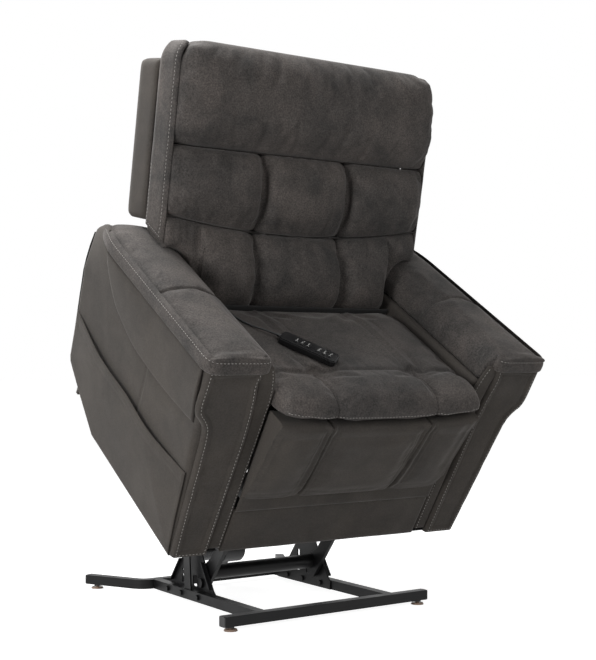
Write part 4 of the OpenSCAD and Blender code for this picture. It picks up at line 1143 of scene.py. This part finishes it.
# %% Apron and rear panel
notch_x, notch_z = half - 0.044, 0.116
apron_x, apron_foot = half - 0.001, -0.010
apron_line = [(-apron_x, apron_foot), (apron_x, apron_foot), (apron_x, notch_z), (notch_x, notch_z),
              (notch_x, pad_low), (-notch_x, pad_low), (-notch_x, notch_z), (-apron_x, notch_z)]
rear_x, rear_step = half + 0.106, half + 0.026
rear_notch, rear_top, rear_low = half - 0.004, 0.464, 0.4115
rear_line = [(-rear_x, -0.005), (rear_x, -0.005), (rear_x, rear_top), (rear_step, rear_top),
             (rear_notch, rear_low), (-rear_notch, rear_low), (-rear_step, rear_top), (-rear_x, rear_top)]


def apron_shape(u, v, layer, edge):
    sag = 0.0006 * ripple(u * 0.2, 3.0)
    return u, 0.0055 - (0.0092 + 0.0035 * rounded(edge - 0.001, 0.014) + sag) * layer, v


def rear_shape(u, v, layer, edge):
    welt = groove(np.abs(edge - 0.022), 0.0016, 0.0022)
    return u, 0.6728 + (0.0112 + 0.0044 * rounded(edge, 0.010) - welt) * layer, v


apron = panel("front_apron_cover", "front_apron", apron_line, apron_shape)
rear = panel("rear_panel_cover", "rear_panel", rear_line, rear_shape, step=0.014)

# %% [markdown]
# A narrow hem of the same cloth hangs from the foot of the footrest pad, in front
# of the apron's cut-away corners. The rows of the back are sewn to each other
# through a folded seam allowance, which shows as a dark line deep in each seam.

# %% Footrest hem
hem_x = half - 0.0012
hem_line = [(-hem_x, 0.113), (hem_x, 0.113), (hem_x, 0.165), (-hem_x, 0.165)]


def hem_shape(u, v, layer, edge):
    lean = 0.003 * np.clip((v - 0.15) / 0.015, 0, 1)
    return u, -0.0088 - 0.0030 * rounded(edge, 0.005) * layer - 0.0005 * layer - lean, v


hem = panel("footrest_pad_hem", "footrest_pad", hem_line, hem_shape, ride_on="footrest_board")

# %% Seam allowances of the back
sewn_in = back_edge + 0.0018
allowance = [(-sewn_in, 0.004), (sewn_in, 0.004), (sewn_in, 0.092), (-sewn_in, 0.092)]
for name, seam_height in (("upper", flat_at(row_high)), ("lower", lambda x: middle_foot(x) - 0.0005)):
    fold = panel("back_seam_allowance_" + name, "middle_back_cushion", allowance,
                 lambda u, v, layer, edge: (u, v, seam_height(u) - 0.0006 + 0.0012 * layer),
                 step=0.016, ride_on="backrest", drawing=back, material=suede)

# %% [markdown]
# The stack of back cushions is closed at each side by one unbroken boxing band.
# Behind it stands the rear shell, a deep padded box with soft corners.

# %% Boxing bands and rear shell
corner_x, corner_height, corner_radius = 0.3285, 0.570, 0.062
band_line = [
    (0.001, 0.138), (0.094, 0.174), (0.095, 0.200), (0.095, 0.628), (0.085, 0.634), (0.030, 0.634),
    (0.012, 0.628), (0.003, 0.612), (-0.002, 0.570), (-0.003, 0.450), (-0.003, 0.300), (-0.001, 0.180)]


def band_shape(u, v, layer, edge):
    dip = groove(np.abs(edge - 0.012), 0.0012, 0.0018)
    thick = 0.0015 + 0.0090 * rounded(edge, 0.024) - dip + 0.0005 * ripple(v * 0.4, 1.5)
    out = corner_radius + 0.001 + thick * layer
    turned = np.maximum(0, v - corner_height) / corner_radius
    return corner_x + out * np.cos(turned), u, np.minimum(v, corner_height) + out * np.sin(turned)


bands = {}
for side in ("left", "right"):
    bands[side] = panel("back_boxing_%s_cover" % side, "back_boxing", band_line, band_shape, step=0.007,
                        mirror=side == "right", ride_on="backrest", drawing=back, material=suede)


def shell_sewn(co):
    return co[:, 1] < 0.12


def shell_seams(co, no):
    x, depth, height = co.T
    edge = np.minimum(np.abs(np.abs(x) - 0.372), np.abs(height - 0.560))
    return pulled_in(co, no, edge, x + height, 0.0022, 0.0035, 0.0006, 0.02, 2.0, (depth > 0.203) * 1.0)


padded("back_shell_cover", "back_shell", back, "backrest", suede_plain,
       shell_sewn, shell_seams, 0.5, voxel=0.008, rounds=6, frames=0)

# %% [markdown]
# Light thread shows wherever a fold is topstitched. A stitch is a tiny rounded
# grain 6 mm long. Each row follows a line drawn near the surface, and every stitch
# is set down on the nearest point of the finished cloth, tangent to it.

# %% Topstitching
pitch, long, thick = 0.0092, 0.0060, 0.00085


def stitched(name, onto, lines, drawing=body, ride_on="chair_body"):
    """Rows of thread along lines, laid on a finished piece."""
    mesh = onto.data
    tree = BVHTree.FromPolygons([v.co for v in mesh.vertices], [p.vertices[:] for p in mesh.polygons])
    bm = bmesh.new()
    count = 0
    for line in lines:
        line = [drawing @ Vector(p) for p in line]
        total, walked, spot = line_length(line), 0.0, 0
        for a, b in zip(line, line[1:]):
            span = (b - a).length
            while spot * pitch < walked + span and spot * pitch < total - long:
                centre, normal, _, gap = tree.find_nearest(a + (b - a) * ((spot * pitch - walked) / span))
                spot += 1
                if centre is None or gap > 0.03:
                    continue
                along = (b - a) - normal * (b - a).dot(normal)
                along.normalize()
                turn = Matrix((along, normal.cross(along), normal)).transposed().to_4x4()
                size = Matrix.Diagonal((long / 2, thick, thick, 1.0))
                spot_at = Matrix.Translation(centre + normal * thick * 0.35) @ turn @ size
                bmesh.ops.create_uvsphere(bm, u_segments=6, v_segments=4, radius=1.0, matrix=spot_at)
                count += 1
            walked += span
    piece = add_piece(name, bm, ride_on)
    piece.data.materials.append(thread)
    piece.data.polygons.foreach_set("use_smooth", [True] * len(piece.data.polygons))
    print(name, count, "stitches")
    return piece


def inset_line(line, by):
    """A closed flat outline moved in by a distance, kept as a closed row of points."""
    points = [Vector(p) for p in line]
    area = sum(a.x * b.y - b.x * a.y for a, b in zip(points, points[1:] + points[:1]))
    hand_in = 1 if area > 0 else -1
    moved = []
    for before, here, after in zip(points[-1:] + points[:-1], points, points[1:] + points[:1]):
        a, b = (here - before).normalized(), (after - here).normalized()
        left = (Vector((-a.y, a.x)) + Vector((-b.y, b.x))) * hand_in
        moved.append(here + left * (by / max(0.5, 0.5 * left.length_squared)))
    return moved + moved[:1]


strip_row = [(0.0075, 0.006), (0.0075, 0.20), (0.0075, 0.42), (0.011, 0.450), (0.018, 0.480), (0.028, 0.507)]
inside_front = inset_line(front_line, 0.0095)
inside_band = inset_line(band_line, 0.0105)
row_radius = 0.075
for side, s in (("left", 1), ("right", -1)):
    stitched("front_panel_stitches_" + side, fronts[side], [[(s * p.x, -0.012, p.y) for p in inside_front]])
    seat_edge = [(s * (half + out), -0.006, z) for out, z in strip_row]
    stitched("inner_strip_stitches_" + side, strips[side], [seat_edge])
    spots = np.linspace(0.02, band_at[-1] - 0.01, 220)
    xs, ys = along_band(spots, 0.001 + 0 * spots)
    welt = [(s * x, y, band_stitch - 0.9 * pad_drop(y)) for x, y in zip(xs, ys)]
    stitched("arm_pad_stitches_" + side, welts[side], [welt])
    edge_row = []
    for p in inside_band:
        turned = max(0, p.y - corner_height) / corner_radius
        edge_row.append((s * (corner_x + row_radius * math.cos(turned)), p.x,
                         min(p.y, corner_height) + row_radius * math.sin(turned)))
    stitched("boxing_stitches_" + side, bands[side], [edge_row], drawing=back, ride_on="backrest")
roll_xs = np.linspace(-half + 0.01, half - 0.01, 40)
roll_hem = [(x, -0.066, 0.4265 - 0.017 * (1 - (x / half) ** 2)) for x in roll_xs]
stitched("seat_roll_stitches", seat, [roll_hem])

# %% [markdown]
# The handset has small white signs on its keys: arrows for the lift, and simple
# bars and chevrons for the back and the footrest. They are printed, so each is a
# film a tenth of a millimetre thick that moves with its key.

# %% Signs on the keys
key_u = [-0.033, -0.018, -0.003, 0.025, 0.040, 0.055]
film = 0.0001


def sign(bm, corners, at):
    """One flat printed shape on the handset, from a few corners."""
    face = bm.faces.new([bm.verts.new((at[0] + u, at[1] + v, 0)) for u, v in corners])
    grown = bmesh.ops.extrude_face_region(bm, geom=[face], use_keep_orig=True)
    lifted = [v for v in grown["geom"] if isinstance(v, bmesh.types.BMVert)]
    bmesh.ops.translate(bm, verts=lifted, vec=(0, 0, film))


arrow = [(-0.0022, -0.0022), (0.0018, 0.0), (-0.0022, 0.0022)]
back_arrow = [(-u, v) for u, v in arrow[::-1]]
bar = [(-0.0008, -0.0030), (0.0008, -0.0030), (0.0008, 0.0030), (-0.0008, 0.0030)]
seat_mark = [(-0.0030, -0.0008), (0.0030, -0.0008), (0.0030, 0.0008), (-0.0030, 0.0008)]
print("printed film", film * 1000, "mm thick")

# %% Printing the keys
for number, u in enumerate(key_u, 1):
    bm = bmesh.new()
    first = arrow if number % 2 else back_arrow
    sign(bm, first, (u + 0.0005, 0.0065))
    sign(bm, bar, (u - 0.0004, 0.0))
    sign(bm, seat_mark, (u, -0.0062))
    bmesh.ops.recalc_face_normals(bm, faces=bm.faces)
    print_piece = add_piece("key_sign_%d" % number, bm, "button_%d" % number)
    top = max((hand.inverted() @ v.co).z for v in nodes["handset_button_%d" % number].data.vertices)
    print_piece.data.transform(hand @ Matrix.Translation((0, 0, top + 0.00002)))
    print_piece.data.update()
    print_piece.data.materials.append(print_white)
print("keys printed", len(key_u))

# %% [markdown]
# The chair is lit as on a pale studio sweep: a broad lamp overhead, a low one on
# the sitter's right and a weak one in front. The floor and the surround read as
# white to the eye and to gloss, but give the chair only a little light, so that
# its hollows stay dark.

# %% Floor, surround and lamps
bm = bmesh.new()
bmesh.ops.create_grid(bm, x_segments=1, y_segments=1, size=30.0)
floor_mesh = bpy.data.meshes.new("studio_floor")
bm.to_mesh(floor_mesh)
bm.free()
floor = bpy.data.objects.new("studio_floor", floor_mesh)
bpy.context.scene.collection.objects.link(floor)


def seen_directly(tree):
    """1 for rays that come from the camera, a mirror or glass, else 0."""
    rays = add(tree, "ShaderNodeLightPath").outputs
    mirrored = sums(tree, "MAXIMUM", rays["Is Glossy Ray"], rays["Is Transmission Ray"])
    return sums(tree, "MAXIMUM", rays["Is Camera Ray"], mirrored)


pale, t, shader = plain_material("pale floor")
shader.inputs["Base Color"].default_value = rgb(0.5, 0.5, 0.5)
shader.inputs["Roughness"].default_value = 0.9
shader.inputs["Specular IOR Level"].default_value = 0.0
shader.inputs["Emission Color"].default_value = rgb(1.0, 1.0, 1.0)
t.links.new(sums(t, "MULTIPLY", seen_directly(t), 0.93), shader.inputs["Emission Strength"])
floor.data.materials.append(pale)

world = bpy.data.worlds.new("studio")
bpy.context.scene.world = world
world.use_nodes = True
t = world.node_tree
t.nodes["Background"].inputs["Color"].default_value = rgb(1.0, 1.0, 1.0)
t.links.new(ramp(t, seen_directly(t), 0.0, 1.0, 0.16, 1.0), t.nodes["Background"].inputs["Strength"])


def lamp(name, place, aim_at, size, power):
    light = bpy.data.lights.new(name, "AREA")
    light.size = size
    light.energy = power
    thing = bpy.data.objects.new(name, light)
    thing.location = place
    thing.rotation_euler = (Vector(aim_at) - Vector(place)).to_track_quat("-Z", "Y").to_euler()
    bpy.context.scene.collection.objects.link(thing)


lamp("overhead", (-0.6, 0.6, 3.3), (0, 0, 0.7), 1.6, 92)
lamp("left", (-3.3, -1.1, 0.95), (0, 0, 0.8), 1.3, 52)
lamp("front_fill", (0.6, -3.4, 1.9), (0, 0, 0.9), 1.6, 18)
bpy.context.scene.view_settings.view_transform = "Standard"

# %% Update the scene
bpy.context.view_layer.update()
